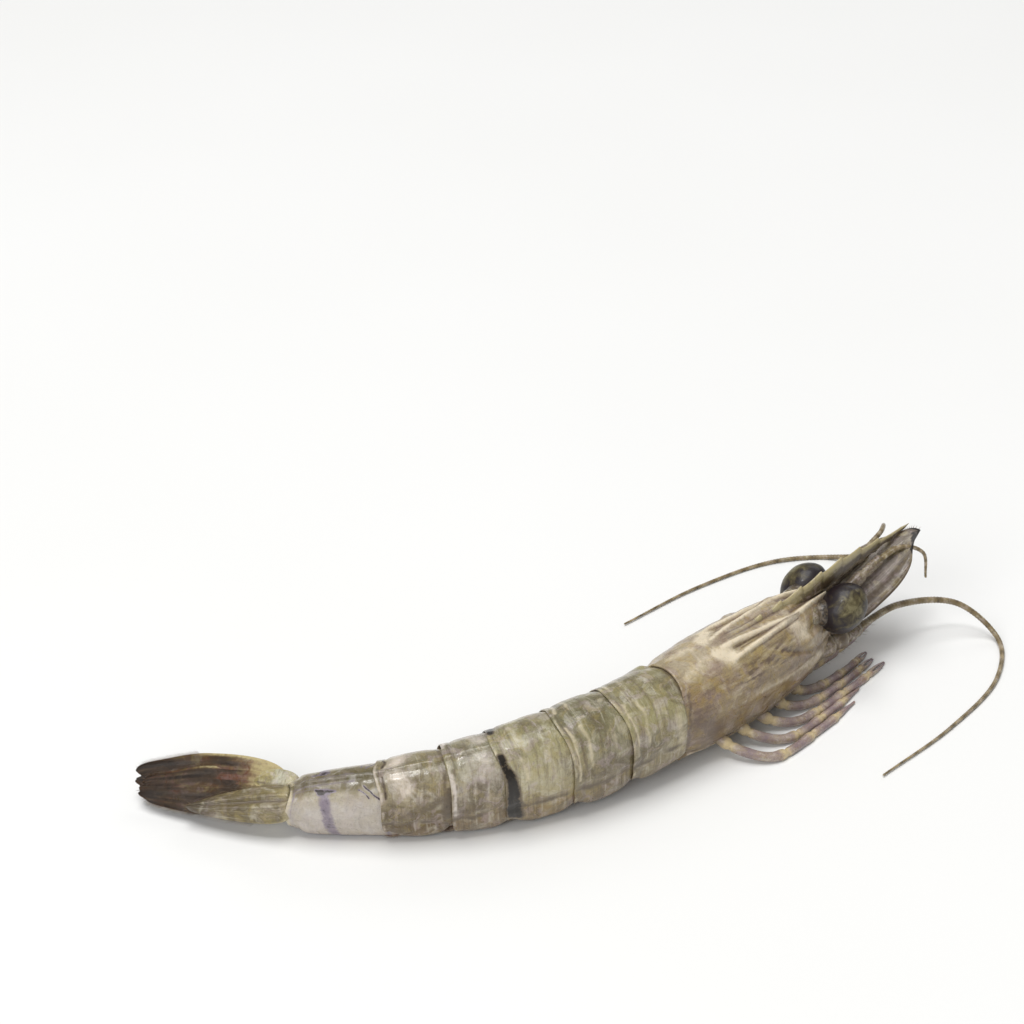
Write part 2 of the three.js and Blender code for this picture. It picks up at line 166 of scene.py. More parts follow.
@dataclass(frozen=True)
class Posture:
    """The frames of the chain of plates, from the head to the tail, in mm and degrees."""

    seat: Triple = (16.8, -26.3, 14.6)
    heading: float = 43.0
    head_roll: float = 9.0
    abdomen_pitch: float = 5.0
    joint_bend: float = 6.6
    joint_roll: float = 1.2
    joint_pitch: float = 1.5
    tail_pitch: float = 3.0
    tail_roll: float = 14.0
    ring_lengths: tuple[float, ...] = (14.0, 14.0, 15.0, 13.5, 12.5, 23.0)

    @property
    def mitre(self) -> float:
        """Slope of a plate's end faces, half the bend at a joint."""
        return math.tan(math.radians(self.joint_bend / 2.0))

    @property
    def stance(self) -> Matrix:
        """Frame on the floor under the rear of the carapace."""
        return placed(self.seat[0], self.seat[1], 0.0, heading=self.heading)

    @property
    def head(self) -> Matrix:
        """Frame of the carapace, at its rear."""
        return self.stance @ placed(0.0, 0.0, self.seat[2], roll=self.head_roll)

    def on_head(self, x: float, y: float, z: float) -> Vector:
        """A point of the head's frame, seen from the stance."""
        return placed(0.0, 0.0, self.seat[2], roll=self.head_roll) @ Vector((x, y, z))

    def ring(self, index: int) -> Matrix:
        """Frame of an abdominal ring, at its front joint.

        Args:
            index: 0 for the ring behind the carapace.

        Returns:
            The ring's frame.
        """
        if index == 0:
            return self.head @ placed(0.0, 0.0, 0.0, 0.0, -self.abdomen_pitch, -self.joint_bend)
        step = placed(-self.ring_lengths[index - 1], 0.0, 0.0, self.joint_roll, -self.joint_pitch, -self.joint_bend)
        return self.ring(index - 1) @ step

    @property
    def tail(self) -> Matrix:
        """Frame of the tail fan, behind the last ring."""
        step = placed(-self.ring_lengths[-1], 0.0, 0.0, self.tail_roll, -self.tail_pitch, -self.joint_bend)
        return self.ring(len(self.ring_lengths) - 1) @ step


POSTURE = Posture()


# Materials

def linear(colour: str) -> tuple[float, float, float, float]:
    """An sRGB hex colour as linear RGBA.

    Args:
        colour: Six hex digits after a hash.

    Returns:
        Linear red, green, blue and an alpha of 1.
    """
    parts = [int(colour[i : i + 2], 16) / 255.0 for i in (1, 3, 5)]
    curve = [c / 12.92 if c <= 0.04045 else ((c + 0.055) / 1.055) ** 2.4 for c in parts]
    return (*curve, 1.0)


def per_mm(size: float) -> float:
    """Scale of a texture on Object coordinates for a pattern of this size in mm."""
    return 1.0 / (size * MM)


class NodeBook:
    """A material and the one function that adds nodes to it."""

    def __init__(self, name: str) -> None:
        """Start an empty material.

        Args:
            name: The material's name.
        """
        self.material = bpy.data.materials.new(name)
        self.material.use_nodes = True
        self.tree = self.material.node_tree
        self.tree.nodes.clear()

    def add(
        self,
        kind: str,
        settings: dict[str, object] | None = None,
        inputs: dict[str | int, object] | None = None,
        output: str | int = 0,
        stops: Sequence[tuple[float, str]] = (),
    ) -> NodeSocket | None:
        """Add a node with its settings and links.

        Args:
            kind: The node's type, without the ShaderNode that it begins with.
            settings: Values of the node's own properties.
            inputs: Sockets by name or number, each given a value or linked to another node's output.
            output: The output to hand back.
            stops: Positions and sRGB colours of a colour ramp.

        Returns:
            The chosen output socket, or None for a node without one.
        """
        node = self.tree.nodes.new(f"ShaderNode{kind}")
        for key, value in (settings or {}).items():
            setattr(node, key, value)
        for key, value in (inputs or {}).items():
            if isinstance(value, NodeSocket):
                self.tree.links.new(value, node.inputs[key])
            else:
                node.inputs[key].default_value = value
        for i, (position, colour) in enumerate(stops):
            elements = node.color_ramp.elements
            stop = elements[i] if i < 2 else elements.new(position)
            stop.position = position
            stop.color = linear(colour)
        return node.outputs[output] if len(node.outputs) else None

    def math(self, operation: str, *values: object) -> NodeSocket:
        """Add a step of arithmetic on values or other nodes' outputs."""
        return self.add("Math", {"operation": operation}, dict(enumerate(values)))

    def noise(
        self,
        where: NodeSocket,
        size: float,
        detail: float = 4.0,
        roughness: float = 0.62,
        warp: float = 0.0,
    ) -> NodeSocket:
        """Add noise with lumps of a given size.

        Args:
            where: The coordinates that it is read at.
            size: Lump size in mm.
            detail: Number of finer layers.
            roughness: Strength of the finer layers.
            warp: How far the lumps are pulled out of shape.

        Returns:
            The noise value's socket.
        """
        inputs = {"Vector": where, "Scale": per_mm(size), "Detail": detail, "Roughness": roughness, "Distortion": warp}
        return self.add("TexNoise", None, inputs)

    def surface(self, inputs: dict[str | int, object]) -> Material:
        """Close the material with its shader.

        Args:
            inputs: The shader's sockets, each given a value or linked.

        Returns:
            The finished material.
        """
        shader = self.add("BsdfPrincipled", None, inputs)
        self.add("OutputMaterial", None, {"Surface": shader})
        return self.material


BLEND = {"data_type": "RGBA"}
SOFT = {"interpolation_type": "SMOOTHSTEP"}


class Layout(Enum):
    """The surface attribute that a finish's colour ramp runs along."""

    ALONG = "along"
    FLANK = "flank"


@dataclass(frozen=True)
class CuticleFinish:
    """Raw chitin over flesh: thin, wet, a little translucent, with pigment in patches, veins and fine dots."""

    name: str
    stops: tuple[tuple[float, str], ...]
    layout: Layout = Layout.FLANK
    pale: str = "#c9bda0"
    # Colour of stains, streaks and veins, and of the softer dark marks, painted shade among them.
    stain_and_shade: str = "#5f5242"
    dark: str = "#2a221b"
    mottle: str = "#584d36"
    mottle_share: float = 0.6
    bloom: str = "#cbc4b2"
    bloom_share: float = 0.4
    flush: str = "#b8a7aa"
    flush_share: float = 0.34
    tinge: str = "#a3935a"
    tinge_share: float = 0.3
    streaks: Pair = (14.0, 2.5)
    streak_share: float = 0.42
    vein_share: float = 0.14
    speckle_share: float = 0.22
    speckle_mm: float = 0.5
    vein_mm: float = 2.6
    vein_bend_mm: float = 2.0
    patch_mm: float = 8.0
    cloud_share: float = 0.4
    border_wander: float = 0.3
    grain_mm: float = 0.7
    bump_mm: float = 0.16
    roughness: float = 0.32
    shine: float = 0.36
    coat: float = 0.5
    glow: float = 0.15

    def build(self) -> Material:
        """Make the material.

        Returns:
            The finished material.
        """
        book = NodeBook(self.name)
        where = book.add("TexCoord", output="Object")
        tags = {tag: book.add("Attribute", {"attribute_name": tag}, output="Fac") for tag in TAGS}
        patch = book.noise(where, self.patch_mm, warp=0.5)
        cloud = book.noise(where, self.cloud_share * self.patch_mm, warp=0.8)
        grain = book.noise(where, self.grain_mm)
        cloud_colour = cloud.node.outputs["Color"]
        drift = book.add("SeparateColor", None, {"Color": cloud_colour}).node.outputs

        # The ramp's borders wander, as pigment does, instead of following the plates.
        lay = book.math("MULTIPLY_ADD", patch, self.border_wander, tags[self.layout.value])
        lay = book.math("SUBTRACT", lay, 0.5 * self.border_wander)
        colour = book.add("ValToRGB", None, {"Fac": lay}, stops=self.stops)

        # Fine streaks that follow the plate.
        lines = [book.math("MULTIPLY", tags[tag], count) for tag, count in zip(("along", "flank"), self.streaks)]
        line_at = book.add("CombineXYZ", None, {"X": lines[0], "Y": lines[1]})
        line = book.add("TexNoise", None, {"Vector": line_at, "Scale": 1.0, "Detail": 4.0, "Roughness": 0.7})

        # Veins and dots of pigment, drawn a little coarser than the real ones so that they show.
        bend = self.vein_bend_mm * MM
        warp = {0: cloud_colour, 1: (bend, bend, bend), 2: where}
        bent = book.add("VectorMath", {"operation": "MULTIPLY_ADD"}, warp)
        cells = {"Vector": bent, "Scale": per_mm(self.vein_mm)}
        vein = book.add("TexVoronoi", {"feature": "DISTANCE_TO_EDGE"}, cells)
        dot = book.add("TexVoronoi", None, {"Vector": where, "Scale": per_mm(self.speckle_mm)})
        dots = book.math("MULTIPLY_ADD", patch, -0.6, dot)

        # Marks have frayed, broken edges.
        fray = book.math("MULTIPLY_ADD", grain, 1.2, -0.35)
        fray = book.math("MULTIPLY_ADD", cloud, 1.5, fray)
        pale, dark = (book.math("MULTIPLY", tags[tag], fray) for tag in ("pale", "dark"))

        # Each layer: what it follows, where it starts, where it is full, how much it covers, and its tint.
        layers = (
            (patch, 0.45, 0.64, self.mottle_share, self.mottle),
            (drift["Green"], 0.5, 0.62, self.flush_share, self.flush),
            (drift["Blue"], 0.5, 0.62, self.tinge_share, self.tinge),
            (cloud, 0.49, 0.68, self.bloom_share, self.bloom),
            (line, 0.49, 0.63, self.streak_share, self.stain_and_shade),
            (line, 0.45, 0.31, self.streak_share, self.bloom),
            (vein, 0.1, 0.0, self.vein_share, self.stain_and_shade),
            (dots, 0.12, -0.2, self.speckle_share, self.dark),
            # The plates' pale and dark marks: pigment and pale seams, and also painted highlights and painted shade.
            (pale, 0.1, 0.95, 0.85, self.pale),
            (dark, 0.08, 0.5, 0.9, self.stain_and_shade),
            (dark, 0.5, 0.85, 0.95, self.dark),
        )
        for value, low, high, share, tint in layers:
            limits = {"Value": value, "From Min": low, "From Max": high, "To Max": share}
            cover = book.add("MapRange", SOFT, limits)
            colour = book.add("Mix", BLEND, {0: cover, 6: colour, 7: linear(tint)}, 2)

        # The film of water thins out in places.
        limits = {"Value": cloud, "From Min": 0.3, "From Max": 0.7}
        limits |= {"To Min": self.roughness - 0.1, "To Max": self.roughness + 0.14}
        gloss = book.add("MapRange", None, limits)
        relief = book.math("MULTIPLY_ADD", grain, 0.35, line)
        relief = book.math("MULTIPLY_ADD", cloud, 1.6, relief)
        normal = book.add("Bump", None, {"Strength": 0.6, "Distance": self.bump_mm * MM, "Height": relief})
        return book.surface(
            {
                "Base Color": colour,
                "Roughness": gloss,
                "Normal": normal,
                "IOR": 1.5,
                "Specular IOR Level": self.shine,
                "Subsurface Weight": self.glow,
                "Subsurface Radius": (1.0, 0.8, 0.55),
                "Subsurface Scale": 1.0 * MM,
                "Coat Weight": self.coat,
                "Coat Roughness": 0.1,
                "Coat IOR": 1.36,
            }
        )


@dataclass(frozen=True)
class CorneaFinish:
    """A raw prawn's compound eye: black pigment under a clear cornea of tiny facets, clouded olive in the middle."""

    name: str = "cornea_faceted_dark"
    rim: str = "#1c1418"
    shade: str = "#38301f"
    middle: str = "#50482f"
    glint: str = "#6f684c"
    facet_mm: float = 0.22
    cloud_mm: float = 2.4

    def build(self) -> Material:
        """Make the material.

        Returns:
            The finished material.
        """
        book = NodeBook(self.name)
        where = book.add("TexCoord", output="Object")
        along = book.add("Attribute", {"attribute_name": "along"}, output="Fac")
        cloud = book.noise(where, self.cloud_mm, 6.0, 0.7, 0.8)
        lay = book.math("MULTIPLY_ADD", cloud, 1.1, along)
        lay = book.math("SUBTRACT", lay, 0.53)
        stops = ((0.0, self.glint), (0.14, self.middle), (0.25, self.shade), (0.36, self.rim))
        colour = book.add("ValToRGB", None, {"Fac": lay}, stops=stops)
        facet = book.add("TexVoronoi", None, {"Vector": where, "Scale": per_mm(self.facet_mm)})
        normal = book.add("Bump", None, {"Strength": 0.25, "Distance": 0.05 * MM, "Height": facet})
        return book.surface(
            {
                "Base Color": colour,
                "Roughness": 0.46,
                "Normal": normal,
                "IOR": 1.4,
                "Coat Weight": 0.22,
                "Coat Roughness": 0.08,
                "Coat IOR": 1.38,
            }
        )


@dataclass(frozen=True)
class PaperFinish:
    """Smooth white studio paper: matte, with a faint drift in tone."""

    name: str = "studio_paper_white"
    light: str = "#ebebea"
    shade: str = "#e6e6e4"
    drift_mm: float = 180.0

    def build(self) -> Material:
        """Make the material.

        Returns:
            The finished material.
        """
        book = NodeBook(self.name)
        where = book.add("TexCoord", output="Object")
        cloud = book.noise(where, self.drift_mm, 2.0, 0.5)
        colour = book.add("Mix", BLEND, {0: cloud, 6: linear(self.light), 7: linear(self.shade)}, 2)
        return book.surface({"Base Color": colour, "Roughness": 0.85, "Specular IOR Level": 0.2})


# Modelling

class Spot(NamedTuple):
    """A point of a surface, in mm, with what is painted there."""

    point: Vector
    along: float = 0.0
    flank: float = 0.0
    pale: float = 0.0
    dark: float = 0.0


class Station(NamedTuple):
    """A row of a loft: its place, its depth under the outer face, and 0 in the middle to 1 on the wall."""

    at: float
    inset: float = 0.0
    fill: float = 1.0


def spread(start: float, end: float, step: float) -> list[float]:
    """Even places from start to end, about a step apart."""
    count = max(int(round((end - start) / step)), 1)
    return [lerp(start, end, i / count) for i in range(count + 1)]


class Sculpt:
    """One piece while it is modelled, in the frame of what carries it."""

    WELD = 1e-3  # mm within which a loft's points are merged

    def __init__(self, node: str, place: Matrix) -> None:
        """Start an empty piece.

        Args:
            node: The solid that the piece stands for.
            place: The frame that it is modelled in.
        """
        self.node = node
        self.place = place
        self.mesh = bmesh.new()
        self.layers = [self.mesh.verts.layers.float.new(tag) for tag in TAGS]

    def loft(
        self,
        stations: Sequence[Row],
        columns: int,
        spot: Callable[[Row, float], Spot],
        slot: int = 0,
    ) -> None:
        """Add a closed surface: a grid wrapped round into rows, its seam and end rows welded, its faces outwards.

        Args:
            stations: One entry for each row, handed to spot.
            columns: Faces round each row.
            spot: Gives the surface's point for a row and a share of a turn.
            slot: Material slot.
        """
        last = len(stations) - 1
        grid = bmesh.ops.create_grid(self.mesh, x_segments=last, y_segments=columns, size=1.0)["verts"]
        for vert in grid:
            station = stations[round((vert.co.x + 1.0) / 2.0 * last)]
            made = spot(station, (vert.co.y + 1.0) / 2.0)
            vert.co = made.point
            for layer, value in zip(self.layers, made[1:]):
                vert[layer] = value
        bmesh.ops.remove_doubles(self.mesh, verts=grid, dist=self.WELD)
        faces = list({f for vert in grid if vert.is_valid for f in vert.link_faces})
        bmesh.ops.recalc_face_normals(self.mesh, faces=faces)
        for face in faces:
            face.material_index = slot
            face.normal_update()
        # A thin blade can still come out inside out, which shows in a volume below 0.
        if sum(f.calc_area() * f.normal.dot(f.calc_center_median()) for f in faces) < 0.0:
            bmesh.ops.reverse_faces(self.mesh, faces=faces)

    def hairs(self, lines: Sequence[Hair], radius: float, slot: int = 0) -> None:
        """Add stiff tapering hairs. Made before the lofts, while the mesh is small.

        Args:
            lines: Root and tip of each hair.
            radius: Radius at the root.
            slot: Material slot.
        """
        for root, tip in lines:
            reach = tip - root
            turn = reach.to_track_quat("Z", "Y").to_matrix().to_4x4()
            place = Matrix.Translation((root + tip) / 2.0) @ turn
            cone = bmesh.ops.create_cone(
                self.mesh, cap_ends=True, segments=3, radius1=radius, radius2=0.0, depth=reach.length, matrix=place
            )
            for vert in cone["verts"]:
                vert[self.layers[0]] = 1.0
            for face in {f for vert in cone["verts"] for f in vert.link_faces}:
                face.material_index = slot

    def finish(self, materials: Sequence[Material], slot: str) -> Object:
        """Put the piece in its place, hang it on the root empty, and hide the solid that it stands for.

        Args:
            materials: The piece's materials, by slot number.
            slot: Not used.

        Returns:
            The finished object.
        """
        bmesh.ops.transform(self.mesh, matrix=self.place, verts=self.mesh.verts)
        for vert in self.mesh.verts:
            vert.co.z = max(vert.co.z, FLOOR_CLEARANCE)
        bmesh.ops.scale(self.mesh, vec=(MM, MM, MM), verts=self.mesh.verts)
        for face in self.mesh.faces:
            face.smooth = True
        data = bpy.data.meshes.new(f"prawn_{self.node}")
        self.mesh.to_mesh(data)
        self.mesh.free()
        for material in materials:
            data.materials.append(material)
        piece = bpy.data.objects.new(f"prawn_{self.node}", data)
        bpy.context.scene.collection.objects.link(piece)
        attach(piece, "root")
        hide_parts(self.node)
        LOG.info("%s: %d faces", piece.name, len(data.polygons))
        return piece


class Route:
    """A smooth line through a few points, read by its share of length."""

    FINENESS = 20

    def __init__(self, points: Sequence[Sequence[float]]) -> None:
        """Work out the line and the frames along it.

        Args:
            points: The points that it passes through, in mm.
        """
        knots = [Vector(p) for p in points]
        knots = [2.0 * knots[0] - knots[1], *knots, 2.0 * knots[-1] - knots[-2]]
        self.points = [knots[1]]
        for i in range(1, len(knots) - 2):
            self.points += [self._between(knots[i - 1 : i + 3], (k + 1) / self.FINENESS) for k in range(self.FINENESS)]
        self.reach = [0.0]
        for before, after in zip(self.points, self.points[1:]):
            self.reach.append(self.reach[-1] + (after - before).length)
        self.length = self.reach[-1]
        self.normals = self._carry_normals()

    @staticmethod
    def _between(knots: Sequence[Vector], share: float) -> Vector:
        """A point between the middle two of four knots, on a centripetal spline.

        Args:
            knots: Four points in a row.
            share: 0 at the second of them to 1 at the third.

        Returns:
            The point.
        """
        gaps = [max((b - a).length, TINY) ** 0.5 for a, b in zip(knots, knots[1:])]
        slopes = []
        for i in (0, 1):
            before = (knots[i + 1] - knots[i]) / gaps[i]
            after = (knots[i + 2] - knots[i + 1]) / gaps[i + 1]
            across = (knots[i + 2] - knots[i]) / (gaps[i] + gaps[i + 1])
            slopes.append((before - across + after) * gaps[1])
        return hermite(knots[1], slopes[0], knots[2], slopes[1], share)

    def _tangent(self, i: int) -> Vector:
        """Direction of the line at one of its points."""
        last = len(self.points) - 1
        return (self.points[min(i + 1, last)] - self.points[max(i - 1, 0)]).normalized()

    def _carry_normals(self) -> list[Vector]:
        """Carry a side direction along the line without twist.

        Returns:
            The direction at each point.
        """
        up = Vector((0.0, 0.0, 1.0))
        normals = []
        for i in range(len(self.points)):
            tangent = self._tangent(i)
            last = normals[-1] if normals else (up if abs(tangent.z) < 0.9 else Vector((1.0, 0.0, 0.0)))
            normals.append((last - tangent * last.dot(tangent)).normalized())
        return normals

    def frame(self, share: float) -> tuple[Vector, Vector, Vector, Vector]:
        """Point, direction and two side directions at a share of the length.

        Args:
            share: 0 at the start to 1 at the end.

        Returns:
            The point, the line's direction, a side direction and the one square to both.
        """
        goal = min(max(share, 0.0), 1.0) * self.length
        i = 0
        while i < len(self.reach) - 2 and self.reach[i + 1] < goal:
            i += 1
        part = (goal - self.reach[i]) / max(self.reach[i + 1] - self.reach[i], TINY)
        point = self.points[i].lerp(self.points[i + 1], part)
        tangent = self._tangent(i).lerp(self._tangent(i + 1), part).normalized()
        normal = self.normals[i].lerp(self.normals[i + 1], part)
        normal = (normal - tangent * normal.dot(tangent)).normalized()
        return point, tangent, normal, tangent.cross(normal)


# Rows of a limb's rounded end: how far out they stand and how wide they are, in radii.
ROUND_END = ((0.25, 0.85), (0.5, 0.5), (0.6, 0.0))


def add_tube(
    sculpt: Sculpt,
    route: Route,
    radius: Callable[[float], float],
    paint: Callable[[float], Pair],
    columns: int = 14,
    step: float = 0.45,
    slot: int = 0,
) -> None:
    """Add a round limb along a route, with rounded ends.

    Args:
        sculpt: The piece to add to.
        route: The limb's middle line.
        radius: Radius at a share of the length.
        paint: Pale and dark marks at a share of the length.
        columns: Faces round the limb.
        step: Row spacing in mm.
        slot: Material slot.
    """
    shares = spread(0.0, 1.0, step / route.length)
    start = [Station(0.0, -out, width) for out, width in reversed(ROUND_END)]
    end = [Station(1.0, out, width) for out, width in ROUND_END]
    stations = start + [Station(s) for s in shares] + end
    frames = {station: (*route.frame(station.at), radius(station.at), paint(station.at)) for station in stations}

    def spot(station: Station, turn: float) -> Spot:
        """The limb's surface at a row and a share of a turn.

        Args:
            station: The row, with its step along the limb as its inset.
            turn: Share of a turn.

        Returns:
            The point and its paint.
        """
        point, tangent, normal, binormal, size, (pale, dark) = frames[station]
        angle = turn * math.tau
        out = normal * math.cos(angle) + binormal * math.sin(angle)
        place = point + tangent * (station.inset * size) + out * (size * station.fill)
        return Spot(place, station.at, abs(2.0 * turn - 1.0), pale, dark)

    sculpt.loft(stations, columns, spot, slot)


# Body plates

class Section(NamedTuple):
    """Half width of the body, and its reach over and under its axis, at a place along it."""

    at: float
    half: float
    top: float
    bottom: float


class SectionTable:
    """Smooth body sections between a few given ones."""

    def __init__(self, rows: Sequence[tuple[float, float, float, float]]) -> None:
        """Keep the given sections.

        Args:
            rows: Place, half width, reach over and reach under the axis, in mm.
        """
        self.rows = [Section(*row) for row in rows]

    def size(self, at: float) -> Section:
        """The section at a place along the body.

        Args:
            at: Place in mm, in the table's own direction.

        Returns:
            The smoothed section.
        """
        rows, last = self.rows, len(self.rows) - 1
        i = 0
        while i < last - 1 and at > rows[i + 1].at:
            i += 1
        span = rows[i + 1].at - rows[i].at
        t = min(max((at - rows[i].at) / span, 0.0), 1.0)

        def slope(k: int, part: int) -> float:
            """Slope of one measure at section k, over this span."""
            before, after = rows[max(k - 1, 0)], rows[min(k + 1, last)]
            return (after[part] - before[part]) / (after.at - before.at) * span

        values = [
            hermite(rows[i][part], slope(i, part), rows[i + 1][part], slope(i + 1, part), t) for part in (1, 2, 3)
        ]
        return Section(at, *values)


@dataclass(frozen=True)
class BodyWall:
    """What the plates' sections share."""

    belly_squareness: float = 0.62
    pleuron_share: float = 0.84
    rim_bow: float = 1.6

    def offset(self, angle: float, half: float, top: float, bottom: float, hollow: float) -> Pair:
        """Place of a section's point from the body's axis.

        Args:
            angle: From the back's midline, growing to the animal's left, in radians.
            half: Half width.
            top: Reach over the axis.
            bottom: Reach under the axis.
            hollow: How far the belly arches up between the flanks.

        Returns:
            Its Y and Z in mm.
        """
        side, rise = math.sin(angle), math.cos(angle)
        if rise >= 0.0:
            return half * side, top * rise
        y = half * signed_power(side, self.belly_squareness)
        reach = min(abs(y) / (half * self.pleuron_share), 1.0)
        arch = hollow * (1.0 - reach * reach) ** 1.5
        return y, bottom * signed_power(rise, self.belly_squareness) + arch

    def bow(self, angle: float) -> float:
        """How far a plate's edge lies back on the flank."""
        return self.rim_bow * math.sin(angle) ** 2


WALL = BodyWall()


def from_back(turn: float) -> float:
    """Degrees from the back's midline, 0 to 180, at a share of a turn."""
    return 180.0 - abs(180.0 - 360.0 * turn)


class Tone(Enum):
    """The two kinds of marks that a finish tints."""

    PALE = "pale"
    DARK = "dark"


@dataclass(frozen=True)
class Mark:
    """A stroke on a plate: pigment for most, a painted highlight or painted shadow for a few. Its ends are given in mm
    from the plate's joint and degrees from the back.
    """

    tone: Tone
    start: Pair
    end: Pair
    width: float
    strength: float = 1.0
    flare: float = 1.0
    wander: float = 0.5
    edge: int = 2

    MM_PER_DEGREE = 0.2  # a degree's length on the plate
    REACH = 2.6  # widths beyond which nothing of the stroke is left

    def cover(self, at: float, degrees: float, drift: float) -> float:
        """How strongly the stroke covers a place.

        Args:
            at: From the plate's joint, in mm.
            degrees: From the back's midline.
            drift: Noise that bends the stroke.

        Returns:
            Cover from 0 to the stroke's strength.
        """
        head = Vector((self.start[0], self.start[1] * self.MM_PER_DEGREE))
        reach = Vector((self.end[0], self.end[1] * self.MM_PER_DEGREE)) - head
        place = Vector((at + self.wander * drift, degrees * self.MM_PER_DEGREE)) - head
        share = min(max(place.dot(reach) / max(reach.length_squared, TINY), 0.0), 1.0)
        away = (place - reach * share).length / (self.width * lerp(1.0, self.flare, share))
        return self.strength * math.exp(-(away**self.edge)) if away < self.REACH else 0.0


def painted(marks: Sequence[Mark], at: float, degrees: float, drift: float) -> Pair:
    """Cover of the strongest pale and the strongest dark mark at a place."""
    return tuple(max((m.cover(at, degrees, drift) for m in marks if m.tone is tone), default=0.0) for tone in Tone)


@dataclass
class AbdomenRing:
    """One abdominal plate: its front is tucked under the plate ahead and its rear lip lies over the next."""

    index: int
    finish: CuticleFinish
    marks: tuple[Mark, ...] = ()
    keel: float = 0.0
    lip: float = 1.0
    back_reach: float = 2.4
    front_lobe: bool = False
    narrowing: float = 0.0
    tuck: float = 3.2
    lip_thickness: float = 0.3
    tuck_share: float = 0.055
    corner_rise: float = 3.2
    hollow: float = 5.2
    fold_angle: float = 92.0
    lobe_edge: float = 0.9
    columns: int = 160
    step: float = 0.22

    LOBE_TOP = (30.0, 50.0)  # degrees from the back over which a front lobe begins
    LOBE_FOOT = (116.0, 138.0)  # and over which it ends
    LOBE_PULL = 0.97  # how far the strip ahead of the lobe's edge is drawn back, as a share
    LOBE_SINK = 0.42  # how deep that strip sinks, for each mm
    LOBE_SWELL = 0.09  # share by which the lobe stands out
    TUCK_TAPER = 0.02  # share by which the tucked front narrows
    BACK_SPREAD = 38.0  # degrees from the back over which the lip reaches further
    BELLY_SHADE = (122.0, 140.0)  # degrees from the back over which painted shade darkens the flank towards the belly
    LIP_GROOVE = 2.2  # mm from the lip's edge to the groove ahead of it
    WAIST = 5.0  # mm before the rear joint over which a ring narrows
    SECTIONS = SectionTable(
        [
            (0.0, 10.2, 11.9, 11.4),
            (28.0, 10.3, 12.2, 12.2),
            (56.0, 8.6, 10.4, 10.6),
            (69.0, 7.4, 8.9, 9.4),
            (92.0, 4.9, 6.4, 6.8),
        ]
    )

    def __post_init__(self) -> None:
        """Read the ring's place in the chain."""
        lengths = POSTURE.ring_lengths
        self.length = lengths[self.index]
        self.start = sum(lengths[: self.index])
        self.is_last = self.index == len(lengths) - 1
        self.rear = self.length + self.lip
        self.name = f"abdomen_ring_{self.index + 1}"

    def _stations(self) -> list[Station]:
        """Rows from the tucked front, over the plate, round its lip and back inside.

        Returns:
            The rows, each end closed in a point on the axis.
        """
        front, rear, inside = -self.tuck, self.rear, self.lip_thickness
        rows = [Station(front, 0.6, fill) for fill in (0.0, 0.55, 0.95)] + [Station(front, 0.2)]
        rows += [Station(at) for at in spread(front, rear, self.step)]
        rows += [Station(rear + 0.1, 0.1), Station(rear + 0.1, inside - 0.08), Station(rear, inside)]
        rows += [Station(rear - 1.2, inside + 0.1), Station(rear - 2.4, inside + 0.3)]
        rows += [Station(rear - 2.6, inside + 0.3, 0.6), Station(rear - 2.6, inside + 0.3, 0.0)]
        return rows

    def _paint(self, at: float, degrees: float, place: Vector) -> Pair:
        """Pale and dark marks of the plate.

        Args:
            at: From the front joint, in mm.
            degrees: From the back's midline.
            place: The point, for wandering edges.

        Returns:
            Strength of the pale and of the dark marks, 0 to 1.
        """
        drift = ripple(place, 3.0, self.index + 0.5)
        pale, dark = painted(self.marks, at, degrees, drift)
        broken = smooth(-0.35, 0.3, ripple(place, 2.2, self.index + 3.5))
        pale = max(pale, 0.6 * broken * hump(at, self.rear - 0.3, 0.4))
        # Painted shade across the front of the plate, where the lip of the plate ahead overhangs it, and a broken dark
        # line ahead of the rear lip.
        dark = max(dark, 0.4 * hump(at, 0.3, 0.7), 0.34 * hump(at, self.rear - 1.1, 0.3) * broken)
        if not self.is_last:
            fold = self.fold_angle + 2.5 * drift
            dark = max(dark, (0.42 + 0.25 * drift) * hump(degrees, fold, 1.8) * smooth(0.0, 3.0, at))
        # Painted shade on the lower flank, darkening towards the belly.
        dark = max(dark, 0.5 * smooth(*self.BELLY_SHADE, degrees))
        return min(pale, 1.0), min(dark, 1.0)

    def _lobe(self, degrees: float) -> float:
        """Share of the front lobe at an angle, 0 on a ring without one."""
        return smooth(*self.LOBE_TOP, degrees) * (1.0 - smooth(*self.LOBE_FOOT, degrees)) if self.front_lobe else 0.0

    def _size(self, at: float, t: float, lobe: float) -> Triple:
        """Size of the plate's outer face.

        Args:
            at: From the front joint, in mm.
            t: Share of the ring's length.
            lobe: Share of the front lobe.

        Returns:
            Half width, reach over and reach under the axis, in mm.
        """
        size = self.SECTIONS.size(self.start + t * self.length)
        swell = 1.0 - self.tuck_share * (1.0 - t) ** 2 - self.TUCK_TAPER * max(-at, 0.0) / self.tuck
        swell += self.LOBE_SWELL * lobe * (1.0 - smooth(0.0, 0.5, t))
        corner = 0.0 if self.is_last else self.corner_rise * abs(2.0 * t - 1.0) ** 3
        puff = 0.14 * smooth(self.rear - 2.4, self.rear, at) + 0.2 * math.sin(math.pi * t)
        narrow = 1.0 - self.narrowing * smooth(self.length - self.WAIST, self.length, at)
        return size.half * swell * narrow + puff, size.top * swell * narrow + puff, (size.bottom - corner) * narrow

